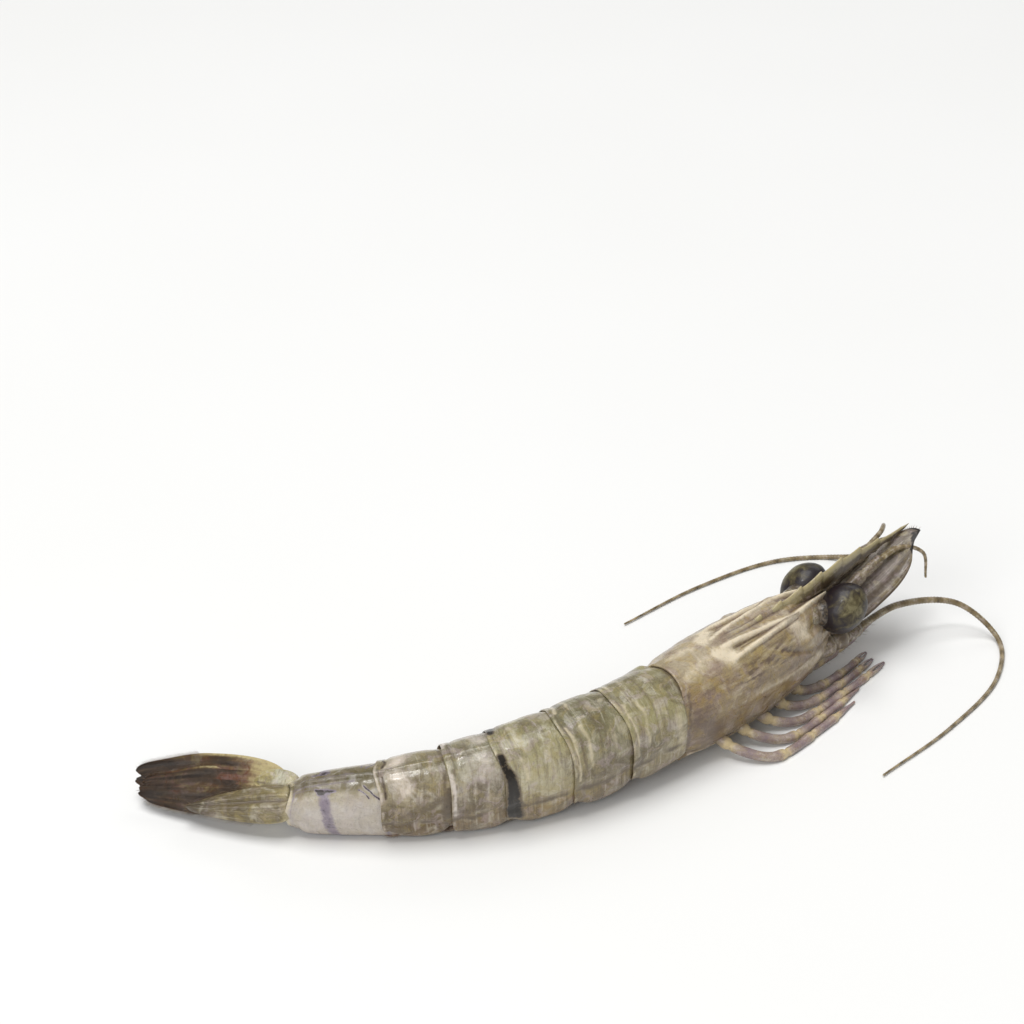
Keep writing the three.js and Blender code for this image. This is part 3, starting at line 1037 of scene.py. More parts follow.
    def _lift(self, at: float, t: float, degrees: float, place: Vector) -> float:
        """Height of the keel, the grooves and the dents over the plain plate.

        Args:
            at: From the front joint, in mm.
            t: Share of the ring's length.
            degrees: From the back's midline.
            place: The point, for the dents.

        Returns:
            The height in mm.
        """
        lift = self.keel * hump(degrees, 0.0, 5.0) * smooth(0.0, 0.25, t)
        if not self.is_last:
            lift -= 0.28 * hump(degrees, self.fold_angle, 3.5) * smooth(0.0, 0.3, t)
        lift -= 0.16 * hump(at, self.rear - self.LIP_GROOVE, 0.6)
        return lift + 0.16 * ripple(place, 5.0, self.index) + 0.07 * ripple(place, 1.8, self.index)

    def _spot(self, station: Station, turn: float) -> Spot:
        """The plate's surface at a row and a share of a turn.

        Args:
            station: The row.
            turn: Share of a turn from the back's midline.

        Returns:
            The point and its paint.
        """
        angle = turn * math.tau
        degrees = from_back(turn)
        lobe = self._lobe(degrees)
        hidden = max(self.lobe_edge - station.at, 0.0) * lobe
        at = station.at + self.LOBE_PULL * hidden
        t = min(max(at / self.length, 0.0), 1.0)
        hollow = self.hollow * (1.0 - t) if self.is_last else self.hollow
        y, z = WALL.offset(angle, *self._size(at, t, lobe), hollow)
        place = Vector((at + self.start, y, z))
        lift = self._lift(at, t, degrees, place) - station.inset - self.LOBE_SINK * hidden
        scale = (1.0 + lift / max(math.hypot(y, z), TINY)) * station.fill
        x = -at + y * POSTURE.mitre * (2.0 * t - 1.0) - WALL.bow(angle)
        x -= self.back_reach * hump(degrees, 0.0, self.BACK_SPREAD) * smooth(0.45, 1.0, t)
        pale, dark = self._paint(at, degrees, place)
        # Painted shade on the strip drawn in under the front lobe's edge.
        if hidden > 0.0:
            dark = max(dark, 0.5 * smooth(0.0, 0.5, hidden))
        point = Vector((lerp(-station.at, x, station.fill), y * scale, z * scale))
        return Spot(point, t, degrees / 180.0, pale, dark)

    def build(self) -> Object:
        """Model and dress the ring.

        Returns:
            The finished piece.
        """
        sculpt = Sculpt(self.name, POSTURE.ring(self.index))
        sculpt.loft(self._stations(), self.columns, self._spot)
        return sculpt.finish([self.finish.build()], "abdomen_shell")


class Ridge(NamedTuple):
    """A ridge of the head shield, or a groove where its height is below 0.

    Its path is given in mm from the rear edge and degrees from the back, and goes straight on past its ends. It fades
    in and out over two stretches, in mm.
    """

    height: float
    width: float
    path: tuple[Pair, ...]
    fade_in: Pair = (-9.0, -8.0)
    fade_out: Pair = (98.0, 99.0)

    def line(self, at: float) -> float:
        """Degrees from the back at which the ridge runs.

        Args:
            at: From the rear edge, in mm.

        Returns:
            The path's angle there.
        """
        for (start, first), (end, last) in zip(self.path, self.path[1:]):
            if at < end or end == self.path[-1][0]:
                return lerp(first, last, (at - start) / (end - start))
        return self.path[0][1]

    def lift(self, at: float, degrees: float) -> float:
        """Height of the ridge at a place, in mm."""
        fade = smooth(*self.fade_in, at) * (1.0 - smooth(*self.fade_out, at))
        return self.height * hump(degrees, self.line(at), self.width) * fade


@dataclass
class Carapace:
    """The head shield: ridges beside the midline, a groove across each flank, a notch for each eye, and the rostrum."""

    shell: CuticleFinish
    horn: CuticleFinish
    marks: tuple[Mark, ...] = ()
    ridges: tuple[Ridge, ...] = ()
    length: float = 52.0
    rostrum_reach: float = 30.5
    upturn: float = 0.0011
    arch: float = 1.9
    rear_lip: float = 1.2
    hollow: float = 4.6
    socket_depth: float = 5.0
    socket_angle: float = 52.0
    socket_spread: float = 24.0
    crest_start: float = 22.0
    root: float = 50.0
    teeth: int = 7
    tooth_height: float = 1.1
    blade_thickness: float = 2.7
    columns: int = 200
    step: float = 0.42
    horn_columns: int = 28
    horn_step: float = 0.22

    FLAP_TOP = (28.0, 48.0)  # degrees from the back over which the front lobe of ring 1 begins
    FLAP_FOOT = (118.0, 140.0)  # and over which it ends
    FLAP_SINK = 0.8  # how deep the rear edge sinks under that lobe, in mm
    FLAP_REACH = 5.0  # how far forward it sinks
    REAR_POLE = (1.8, 0.0, 0.0)  # where the rows inside the rear edge meet
    FRONT_POLE = (44.0, 0.0, 2.0)  # where those inside the front edge meet
    CREST_HEIGHT = 12.3  # the rostrum's upper edge over the axis, at its start
    CREST_RISE = 2.3  # and how far it climbs to its root
    ARCH = (59.0, 11.0)  # middle and reach of the arch in that edge
    UPTURN_START = 40.0  # where the rostrum begins to turn up
    UNDERSIDE = (9.0, 8.6)  # height of its lower edge at its start and its root
    TOOTH_PEAK = 0.62  # where an upper tooth is highest, as a share of the pitch
    TOOTH_FALL = 0.12  # and how fast it falls off ahead of that
    UNDER_TEETH = (7.0, 12.0, 17.0)  # lower teeth, in mm behind the tip

    SECTIONS = SectionTable(
        [
            (0.0, 10.3, 12.0, 11.3),
            (14.0, 11.2, 12.7, 12.3),
            (30.0, 10.9, 12.8, 11.6),
            (42.0, 9.3, 12.2, 9.2),
            (52.0, 6.0, 10.6, 5.6),
        ]
    )

    def _stations(self) -> list[Station]:
        """Rows from inside the rear edge, over the shield, to inside its front.

        Returns:
            The rows, each end closed in a pole.
        """
        rear, front = -self.rear_lip, self.length
        rows = [Station(rear + 3.0, 1.0, 0.0), Station(rear + 3.0, 1.0, 0.7), Station(rear + 2.0, 0.8)]
        rows += [Station(rear, 0.55), Station(rear - 0.1, 0.3), Station(rear - 0.08, 0.1)]
        rows += [Station(at) for at in spread(rear, front, self.step)]
        rows += [Station(front + 0.1, 0.15), Station(front + 0.05, 0.4), Station(front - 0.8, 0.7)]
        rows += [Station(front - 1.5, 0.8, 0.85), Station(front - 2.5, 0.8, 0.5), Station(front - 3.0, 0.8, 0.0)]
        return rows

    def _paint(self, at: float, degrees: float, place: Vector) -> Pair:
        """Pale and dark marks of the shield.

        Args:
            at: From the rear edge, in mm.
            degrees: From the back's midline.
            place: The point, for wandering edges.

        Returns:
            Strength of the pale and of the dark marks, 0 to 1.
        """
        pale, dark = painted(self.marks, at, degrees, ripple(place, 3.4, 4.0))
        lines = Vector((at / 4.0, 0.26 * degrees, 0.0))
        comb = ripple(lines, 1.0, 9.0) + 0.5 * ripple(lines, 0.4, 6.0)
        zone = hump(degrees, 54.0, 22.0) * smooth(10.0, 20.0, at) * (1.0 - 0.7 * smooth(36.0, 42.0, at))
        pale = max(pale, 0.34 * zone * smooth(0.05, 0.5, -comb))
        return pale, min(max(dark, 0.46 * zone * smooth(-0.35, 0.45, comb) * (1.0 - pale)), 1.0)

    def _spot(self, station: Station, turn: float) -> Spot:
        """The shield's surface at a row and a share of a turn.

        Args:
            station: The row.
            turn: Share of a turn from the back's midline.

        Returns:
            The point and its paint.
        """
        angle = turn * math.tau
        degrees = from_back(turn)
        t = min(max(station.at / self.length, 0.0), 1.0)
        size = self.SECTIONS.size(t * self.length)
        y, z = WALL.offset(angle, size.half, size.top, size.bottom, self.hollow * (1.0 - t * t))
        place = Vector((station.at, y, z))
        lift = sum(ridge.lift(station.at, degrees) for ridge in self.ridges)
        lift += 0.16 * ripple(place, 6.0, 2.0) + 0.08 * ripple(place, 1.9, 3.0)
        flap = smooth(*self.FLAP_TOP, degrees) * (1.0 - smooth(*self.FLAP_FOOT, degrees))
        lift -= self.FLAP_SINK * flap * (1.0 - smooth(0.0, self.FLAP_REACH, station.at))
        scale = 1.0 + (lift - station.inset) / max(math.hypot(y, z), TINY)
        notch = hump(degrees, self.socket_angle, self.socket_spread)
        x = t * (self.length - self.socket_depth * notch)
        x += (1.0 - t) ** 3 * (y * POSTURE.mitre - WALL.bow(angle)) + min(station.at, 0.0)
        x += max(station.at - self.length, 0.0)
        pole = Vector(self.FRONT_POLE if t > 0.5 else self.REAR_POLE)
        point = pole.lerp(Vector((x, y * scale, z * scale)), station.fill)
        pale, dark = self._paint(station.at, degrees, place)
        return Spot(point, t, degrees / 180.0, pale, dark)

    def _crest(self, x: float) -> float:
        """Height of the rostrum's upper edge, without teeth."""
        rise = self.CREST_RISE * smooth(self.crest_start, self.root, x) + self.arch * hump(x, *self.ARCH)
        return self.CREST_HEIGHT + rise + self.upturn * max(x - self.UPTURN_START, 0.0) ** 2

    def _teeth_over(self, x: float) -> float:
        """Height of the teeth on the upper edge.

        Args:
            x: Along the head, in mm.

        Returns:
            The height in mm.
        """
        pitch = (self.length + self.rostrum_reach - 12.0 - self.crest_start) / self.teeth
        share = (x - self.crest_start - 3.0) / pitch
        if not 0.0 <= share < self.teeth:
            return 0.0
        share -= math.floor(share)
        if share < self.TOOTH_PEAK:
            return self.tooth_height * (share / self.TOOTH_PEAK) ** 1.5
        return self.tooth_height * max(1.0 - (share - self.TOOTH_PEAK) / self.TOOTH_FALL, 0.0)

    def _teeth_under(self, x: float, tip: float) -> float:
        """Depth of the teeth on the lower edge.

        Args:
            x: Along the head, in mm.
            tip: The rostrum's tip on the same scale.

        Returns:
            The depth in mm.
        """
        depth = 0.0
        for back in self.UNDER_TEETH:
            ahead = x - (tip - back)
            rise = (ahead + 2.0) / 2.6 if ahead < 0.6 else (1.2 - ahead) / 0.6
            depth = max(depth, min(max(rise, 0.0), 1.0) ** 1.4)
        return depth

    def _horn_spot(self, station: Station, turn: float) -> Spot:
        """The rostrum's surface: a thin blade with a rib along each face.

        Args:
            station: The row.
            turn: Share of a turn from the upper edge.

        Returns:
            The point and its paint.
        """
        x, tip = station.at, self.length + self.rostrum_reach
        top = self._crest(x) + self._teeth_over(x)
        under = lerp(*self.UNDERSIDE, (x - self.crest_start) / (self.root - self.crest_start))
        if x > self.root:
            share = (x - self.root) / (tip - self.root)
            under = lerp(self.UNDERSIDE[1], self._crest(tip) - 0.7, share**0.9) - self._teeth_under(x, tip)
        angle = turn * math.tau
        rise, side = math.cos(angle), math.sin(angle)
        point_share = 1.0 - smooth(tip - 2.5, tip + 0.2, x)
        middle, half = (top + under) / 2.0, (top - under) / 2.0 * lerp(0.25, 1.0, point_share)
        thick = 0.5 * self.blade_thickness * (1.0 - 0.62 * smooth(46.0, tip, x)) * lerp(0.2, 1.0, point_share)
        thick *= 0.5 + 0.5 * hump(rise, -0.15, 0.42) + 0.12 * hump(rise, 0.75, 0.3)
        point = Vector((x, thick * side * station.fill, middle + half * rise * station.fill))
        along = (x - self.crest_start) / (tip - self.crest_start)
        pale = max(0.85 * hump(rise, 0.85, 0.4), 1.0 - smooth(34.0, 47.0, x))
        dark = 0.62 * hump(rise, 0.1, 0.3) * smooth(40.0, 54.0, x)
        return Spot(point, along, (1.0 - rise) / 2.0, pale, dark)

    def build(self) -> Object:
        """Model and dress the shield and the rostrum.

        Returns:
            The finished piece.
        """
        sculpt = Sculpt("carapace", POSTURE.head)
        tip = self.length + self.rostrum_reach
        rows = [Station(self.crest_start, fill=0.0)]
        rows += [Station(x) for x in spread(self.crest_start, tip, self.horn_step)]
        rows.append(Station(tip + 0.3, fill=0.0))
        sculpt.loft(rows, self.horn_columns, self._horn_spot, slot=1)
        sculpt.loft(self._stations(), self.columns, self._spot)
        return sculpt.finish([self.shell.build(), self.horn.build()], "carapace_shell")


# Blades

@dataclass
class Blade:
    """A thin leaf along -X with a low rib: the leaf of a swimmeret, or the heel of a tail blade."""

    length: float
    width: float
    thickness: float
    fullest: float
    bluntness: Pair
    droop: float = 0.0
    outer: int = 1
    seed: float = 0.0
    columns: int = 64
    rows: int = 90
    slant: float = 0.0
    trim: float = 0.0
    hair_length: float = 1.1
    hair_radius: float = 0.09

    ENDS = (0.004, 0.9985)  # shares of the length at which the blade starts and ends

    def half(self, t: float) -> float:
        """Half the blade's width.

        Args:
            t: Share of the length.

        Returns:
            The half width in mm.
        """
        skew = math.log(0.5) / math.log(self.fullest)
        share = 2.0 * t**skew - 1.0
        power = self.bluntness[0] if share < 0.0 else self.bluntness[1]
        trim = 1.0 - self.trim * smooth(0.55, 1.0, t)
        return 0.5 * self.width * trim * max(1.0 - abs(share) ** power, 0.0) ** (1.0 / power)

    @staticmethod
    def _fade(t: float) -> float:
        """How much of a rib is left at a share of the length."""
        return (1.0 - t) ** 0.4

    def _wander(self, t: float, across: float) -> float:
        """Noise that bends the blade's marks."""
        return ripple(Vector((t * 4.0, across * 6.0, 0.0)), 1.0, self.seed + 2.0)

    def _ragged(self, t: float, across: float) -> float:
        """How far the end stands out, in mm: not at all on a whole blade."""
        return 0.0

    def _relief(self, t: float, across: float, upper: float) -> float:
        """Height of the rib on the blade's faces, in mm."""
        return 0.2 * hump(across, 0.0, 0.12) * self._fade(t) * upper

    def _paint(self, t: float, across: float) -> Pair:
        """A pale rim and a dark rib."""
        return 0.4 * smooth(0.8, 1.0, abs(across)), 0.3 * hump(across, 0.0, 0.2) + 0.2 * self._wander(t, across)

    def point(self, t: float, angle: float, fill: float = 1.0) -> Vector:
        """A point of the blade's surface in its own frame.

        Args:
            t: Share of the length.
            angle: Round the blade from the middle of its upper face, in radians.
            fill: 1 on the surface, 0 in the middle, where both faces meet.

        Returns:
            The point in mm.
        """
        across, upper = math.sin(angle), math.cos(angle) * fill
        thick = 0.5 * self.thickness * (1.0 - 0.55 * t)
        lens = upper * (0.45 + 0.55 * abs(upper))
        z = thick * lens + self._relief(t, across, upper) - self.droop * t * t
        x = -self.length * t - self._ragged(t, across) + self.slant * across * self.outer * smooth(0.5, 1.0, t)
        return Vector((x, self.half(t) * across, z))

    def hair_lines(self, start: float, spacing: float, sides: Sequence[int]) -> list[Hair]:
        """Roots and tips of the fringe along the blade's edges.

        Args:
            start: Share of the length at which the fringe begins.
            spacing: Distance between hairs, in mm.
            sides: Edges that carry it: 1, -1 or both.

        Returns:
            Root and tip of each hair.
        """
        draw = random.Random(int(1000 * self.seed) + len(sides))
        lines = []
        for side in sides:
            for t in spread(start, 0.995, spacing / self.length / 1.6):
                root = self.point(t, side * math.pi / 2.0)
                step = self.point(min(t + 0.004, 0.999), side * math.pi / 2.0) - root
                out = Vector((step.y * side, -step.x * side, 0.0)).normalized()
                lean = Vector((-0.9, 0.0, 0.0)) + out + Vector((0.0, 0.0, draw.uniform(-0.12, 0.12)))
                lines.append((root, root + lean.normalized() * self.hair_length * draw.uniform(0.7, 1.15)))
        return lines

    def add_to(self, sculpt: Sculpt, place: Matrix | None = None, slot: int = 0) -> None:
        """Add the blade to a piece.

        Args:
            sculpt: The piece.
            place: Where the blade sits in the piece's frame, if not at its origin.
            slot: Material slot.
        """
        shift = place or Matrix.Identity(4)
        first, last = self.ENDS
        shares = [math.sin(0.5 * math.pi * i / self.rows) for i in range(self.rows + 1)]
        stations = [Station(first, fill=0.0), *(Station(lerp(first, last, s)) for s in shares), Station(last, fill=0.0)]

        def spot(station: Station, turn: float) -> Spot:
            """The blade's surface at a row and a share of a turn.

            Args:
                station: The row.
                turn: Share of a turn from the middle of the upper face.

            Returns:
                The point and its paint.
            """
            angle = turn * math.tau
            across = math.sin(angle)
            point = shift @ self.point(station.at, angle, station.fill)
            return Spot(point, station.at, (1.0 + across) / 2.0, *self._paint(station.at, across))

        sculpt.loft(stations, self.columns, spot, slot)


@dataclass
class TelsonBlade(Blade):
    """The telson: a groove along its middle, between two ribs."""

    def _relief(self, t: float, across: float, upper: float) -> float:
        """Height of the groove and the ribs on the upper face, in mm."""
        lift = -0.9 * hump(across, 0.0, 0.15) + 0.45 * hump(abs(across), 0.27, 0.12)
        return lift * self._fade(t) * max(upper, 0.0)

    def _paint(self, t: float, across: float) -> Pair:
        """A pale joint and rim, and a dark groove."""
        pale = 0.6 * hump(t, 0.02, 0.06) + 0.35 * smooth(0.9, 1.0, abs(across))
        return pale, 0.45 * hump(across, 0.0, 0.1) + 0.2 * self._wander(t, across)


@dataclass
class FanBlade(Blade):
    """A tail blade: ribs along its middle and its outer edge, and a worn end."""

    def _ragged(self, t: float, across: float) -> float:
        """How far the worn end stands out or is bitten back, in mm."""
        coarse, fine = (ripple(Vector((across * k, y, 0.0)), 1.0, self.seed) for k, y in ((1.8, 0.0), (5.0, 3.0)))
        return (1.9 * coarse + 0.6 * fine) * smooth(0.8, 1.0, t)

    def _relief(self, t: float, across: float, upper: float) -> float:
        """Height of the ribs and of the blade's wave.

        Args:
            t: Share of the length.
            across: -1 at the right edge to 1 at the left edge.
            upper: 1 on the upper face to -1 on the lower one.

        Returns:
            The height in mm.
        """
        lift = 0.5 * hump(across, 0.12, 0.06) + 0.4 * hump(across, -0.1, 0.05)
        lift += 0.45 * hump(across * self.outer, 0.8, 0.09) - 0.25 * hump(across, 0.01, 0.06)
        wave = 0.35 * ripple(Vector((t * 4.0, across * 1.6, 0.0)), 1.0, self.seed)
        return lift * self._fade(t) * upper + wave

    def _paint(self, t: float, across: float) -> Pair:
        """A pale root and outer edge, and darker streaks towards the end.

        Args:
            t: Share of the length.
            across: -1 at the right edge to 1 at the left edge.

        Returns:
            Strength of the pale and of the dark marks, 0 to 1.
        """
        wander = self._wander(t, across)
        pale = 0.85 * (1.0 - smooth(0.14, 0.38, t + 0.1 * wander))
        pale += 0.75 * smooth(0.84, 0.98, across * self.outer) * (1.0 - smooth(0.5, 0.74, t))
        pale += 0.4 * hump(across, 0.12, 0.035) * (1.0 - smooth(0.5, 0.8, t))
        dark = smooth(0.28, 0.48, t + 0.12 * wander) * (0.3 + 0.8 * wander + 0.42 * smooth(0.6, 1.0, t))
        return min(pale, 1.0), min(max(dark - 0.6 * pale, 0.0), 1.0)


@dataclass
class ScaleBlade(Blade):
    """An antennal scale: a stiff outer edge and a dark tip."""

    def _relief(self, t: float, across: float, upper: float) -> float:
        """Height of the two ribs, in mm."""
        rib = 0.6 * hump(across * self.outer, 0.82, 0.12) + 0.3 * hump(across * self.outer, 0.35, 0.08)
        return rib * self._fade(t) * upper

    def _paint(self, t: float, across: float) -> Pair:
        """A dark tip, rim and outer half, and a pale inner half.

        Args:
            t: Share of the length.
            across: -1 at the right edge to 1 at the left edge.

        Returns:
            Strength of the pale and of the dark marks, 0 to 1.
        """
        out, wander = across * self.outer, self._wander(t, across)
        dark = 0.95 * smooth(0.945, 0.98, t + 0.03 * wander) + 0.5 * smooth(0.86, 0.96, abs(across))
        dark = max(dark, (0.4 + 0.2 * wander) * hump(out, 0.5, 0.35) * smooth(0.1, 0.3, t))
        return 0.5 * hump(out, -0.3, 0.3) * (1.0 - smooth(0.7, 0.85, t)), min(dark, 1.0)


class BladePlace(NamedTuple):
    """Where a tail blade sits in the tail's frame, in mm and degrees, its share of the full length, and its width."""

    name: str
    y: float
    z: float
    spread: float
    lean: float
    share: float
    width: float


@dataclass
class TailFan:
    """The telson over two blades a side: the left ones spread, the right ones folded in under it."""

    telson: CuticleFinish
    blade: CuticleFinish
    heel: CuticleFinish
    hair: CuticleFinish
    telson_length: float = 24.5
    uropod_length: float = 36.0
    blade_thickness: float = 1.6
    places: tuple[BladePlace, ...] = (
        BladePlace("uropod_inner_left", 2.6, -0.2, -4.0, 6.0, 0.96, 11.4),
        BladePlace("uropod_inner_right", 0.0, -2.2, -9.0, -8.0, 0.78, 8.0),
        BladePlace("uropod_outer_left", 4.6, -0.8, -5.0, 14.0, 1.0, 13.0),
        BladePlace("uropod_outer_right", 0.2, -3.6, -11.0, -12.0, 0.8, 8.6),
    )

    def build(self) -> list[Object]:
        """Model and dress the telson and the four blades.

        Returns:
            The finished pieces.
        """
        telson_skin, fan_skin = self.telson.build(), self.blade.build()
        heel_skin, hair_skin = self.heel.build(), self.hair.build()
        leaf = TelsonBlade(
            self.telson_length,
            width=9.4,
            thickness=5.4,
            fullest=0.22,
            bluntness=(2.2, 1.6),
            seed=1.0,
            hair_length=1.2,
        )
        sculpt = Sculpt("telson", POSTURE.tail @ placed(0.8, -0.5, 1.1, pitch=-4.0, heading=0.5))
        sculpt.hairs(leaf.hair_lines(0.35, 0.7, (1, -1)), leaf.hair_radius, slot=1)
        leaf.add_to(sculpt)
        pieces = [sculpt.finish([telson_skin, hair_skin], "telson_shell")]
        for i, place in enumerate(self.places):
            outer = 1 if place.name.endswith("left") else -1
            leaf = FanBlade(
                place.share * self.uropod_length,
                place.width,
                self.blade_thickness,
                fullest=0.55,
                bluntness=(3.0, 6.0),
                outer=outer,
                seed=2.0 + i,
                trim=0.36,
            )
            sculpt = Sculpt(place.name, POSTURE.tail @ placed(-0.6, place.y, place.z, place.lean, -5.0, place.spread))
            sculpt.hairs(leaf.hair_lines(0.62, 0.5, (1, -1)), leaf.hair_radius, slot=1)
            leaf.add_to(sculpt)
            if "outer" in place.name:
                heel = Blade(11.0, width=7.4, thickness=4.4, fullest=0.45, bluntness=(2.2, 2.2), rows=40, columns=40)
                heel.add_to(sculpt, placed(3.0, -0.8 * outer, 0.4, heading=-6.0 * outer), slot=2)
            pieces.append(sculpt.finish([fan_skin, hair_skin, heel_skin], "tail_blade"))
        return pieces


# Limbs

def jointed(joints: Sequence[float], swelling: float, width: float) -> Callable[[float], float]:
    """Thickness along a jointed limb, against its even taper.

    Args:
        joints: Shares of the length where the limb is jointed.
        swelling: Share that the limb thickens by just before a joint.
        width: Reach of that swelling, as a share of the length.

    Returns:
        A function from a share of the length to a factor.
    """

    def factor(share: float) -> float:
        """The limb's thickness against its even taper.

        Args:
            share: Share of the limb's length.

        Returns:
            The factor.
        """
        swells = sum(hump(share, joint - 0.6 * width, width) for joint in joints)
        waists = sum(hump(share, joint + 0.35 * width, 0.3 * width) for joint in joints)
        return 1.0 + swelling * (swells - 1.3 * waists)

    return factor


@dataclass
class HeadLimbs:
    """Eyes, antennal scales, antennules and antennae of both sides."""

    cornea: CorneaFinish
    stalk: CuticleFinish
    scale: CuticleFinish
    feeler: CuticleFinish
    whip: CuticleFinish
    hair: CuticleFinish
    carapace_length: float = 52.0
    eye_radius: float = 5.4
    eye_stretch: float = 1.24
    scale_length: float = 33.5

    # Places in the head's frame, in mm. Points of both sides are given for the left one.
    EYE_CENTRES = {Side.LEFT: (53.4, 6.0, 5.8), Side.RIGHT: (52.8, 6.6, 8.4)}
    EYE_LOOK = (-0.25, 0.75, 0.6)  # where the middle of the eyeball faces
    EYE_LONG_WAY = (0.78, 0.0, 0.63)  # the oval's long way
    STALK_POINTS = ((43.0, 2.6, 7.4), (46.5, 3.6, 7.6))
    STALK_END = (2.6, 1.4, 0.8)  # from there to the middle of the eyeball
    SCALE_SEATS = {Side.LEFT: (-1.4, 11.0), Side.RIGHT: (0.6, 17.0)}  # height and pitch
    STEM_POINTS = ((46.0, 2.2, 5.0), (58.0, 2.2, 8.0), (70.0, 2.3, 12.4))
    LONG_FEELER = ((77.0, 3.6, 14.0), (82.0, 6.6, 11.6), (83.0, 8.4, 4.6))
    SHORT_FEELER = ((76.0, 2.0, 13.0), (82.0, 2.2, 9.4))
    # The whip's way over the floor, in the stance's frame, and how much wider the left one swings.
    WHIP_LEAD = (91.0, 14.0, 8.6)
    WHIP_SWEEP = ((95.0, 24.0, 1.4), (82.0, 34.0, 0.6), (58.0, 39.0, 0.6), (32.0, 40.0, 0.6))
    WHIP_SWING = {Side.LEFT: 1.12, Side.RIGHT: 1.0}

    @cached_property
    def skins(self) -> dict[str, Material]:
        """The materials by their finish's name, made once."""
        return {key: getattr(self, key).build() for key in ("cornea", "stalk", "scale", "feeler", "whip", "hair")}

    def build(self) -> list[Object]:
        """Model and dress the limbs.

        Returns:
            The finished pieces.
        """
        pieces = []
        for side in Side:
            pieces += [self._eye(side), self._scale_blade(side), self._antennule(side), *self._antenna(side)]
        return pieces

    def _eye(self, side: Side) -> Object:
        """An oval eyeball on its jointed stalk.

        Args:
            side: The animal's side.

        Returns:
            The finished piece.
        """
        sculpt = Sculpt(f"eye_{side.label}", POSTURE.head)
        centre, back, look = side.mirror((self.EYE_CENTRES[side], self.STALK_END, self.EYE_LOOK))
        stalk = Route([*side.mirror(self.STALK_POINTS), centre - back])
        add_tube(
            sculpt,
            stalk,
            lambda s: lerp(2.6, 3.5, s) * (1.0 - 0.14 * hump(s, 0.45, 0.09)),
            lambda s: (0.0, 0.75 * smooth(0.2, 0.6, s)),
            columns=28,
            step=0.3,
            slot=1,
        )
        axis = look.to_track_quat("Z", "X").to_matrix()
        long_way = Vector(self.EYE_LONG_WAY)

        def spot(polar: float, turn: float) -> Spot:
            """The eyeball's surface.

            Args:
                polar: 0 in the middle of the eye to 1 at its back.
                turn: Share of a turn round that axis.

            Returns:
                The point and its paint.
            """
            angle, round_angle = polar * math.pi, turn * math.tau
            wide = math.sin(angle)
            way = axis @ Vector((wide * math.cos(round_angle), wide * math.sin(round_angle), math.cos(angle)))
            way += long_way * way.dot(long_way) * (self.eye_stretch - 1.0)
            dent = 1.0 + 0.025 * ripple(way, 0.5, 5.0)
            return Spot(centre + way * self.eye_radius * dent, polar, turn)

        sculpt.loft(spread(0.0, 1.0, 1.0 / 48.0), 64, spot)
        return sculpt.finish([self.skins["cornea"], self.skins["stalk"]], "eye")

    def _scale_blade(self, side: Side) -> Object:
        """The flat blade beside the rostrum, fringed on its inner edge.

        Args:
            side: The animal's side.

        Returns:
            The finished piece.
        """
        sign = side.value
        rise, pitch = self.SCALE_SEATS[side]
        place = placed(self.carapace_length - 2.0, sign * 3.2, rise, sign * 18.0, pitch, 180.0 - sign * 1.0)
        sculpt = Sculpt(f"antennal_scale_{side.label}", POSTURE.head @ place)
        leaf = ScaleBlade(
            self.scale_length,
            width=11.2,
            thickness=1.8,
            fullest=0.5,
            bluntness=(2.6, 2.6),
            droop=-5.0,
            outer=-sign,
            seed=8.0 + sign,
            slant=3.0,
        )
        sculpt.hairs(leaf.hair_lines(0.45, 0.55, (sign,)), leaf.hair_radius, slot=1)
        leaf.add_to(sculpt)
        return sculpt.finish([self.skins["scale"], self.skins["hair"]], "antennal_scale")

    def _antennule(self, side: Side) -> Object:
        """A stem of three joints that ends in two drooping feelers.

        Args:
            side: The animal's side.

        Returns:
            The finished piece.
        """
        sculpt = Sculpt(f"antennule_{side.label}", POSTURE.head)
        points = side.mirror(self.STEM_POINTS)
        stem = Route(points)
        swell = jointed((0.45, 0.75), 0.18, 0.07)
        add_tube(
            sculpt,
            stem,
            lambda s: lerp(1.9, 1.25, s) * swell(s),
            lambda s: (0.4 * max(hump(s, 0.45, 0.04), hump(s, 0.75, 0.04)), 0.4 * hump(s, 0.6, 0.08)),
            columns=20,
        )
        for way, thick, thin in ((self.LONG_FEELER, 0.75, 0.3), (self.SHORT_FEELER, 0.7, 0.28)):
            route = Route([points[-1], *side.mirror(way)])
            add_tube(sculpt, route, self._annulated(route, thick, thin), self._belted(route, 2.2), 10, 0.2, slot=1)
        return sculpt.finish([self.skins["feeler"], self.skins["whip"]], "feeler")

    @staticmethod
    def _annulated(route: Route, thick: float, thin: float) -> Callable[[float], float]:
        """Radius along a feeler of many short joints."""
        count = route.length / 0.9
        return lambda s: lerp(thick, thin, s) * (1.0 + 0.06 * math.sin(math.tau * count * s))

    @staticmethod
    def _belted(route: Route, pitch: float) -> Callable[[float], Pair]:
        """Marks along a feeler: darker belts, one to each pitch in mm."""
        count = route.length / pitch
        return lambda s: (0.0, 0.3 + 0.28 * math.sin(math.tau * count * s))

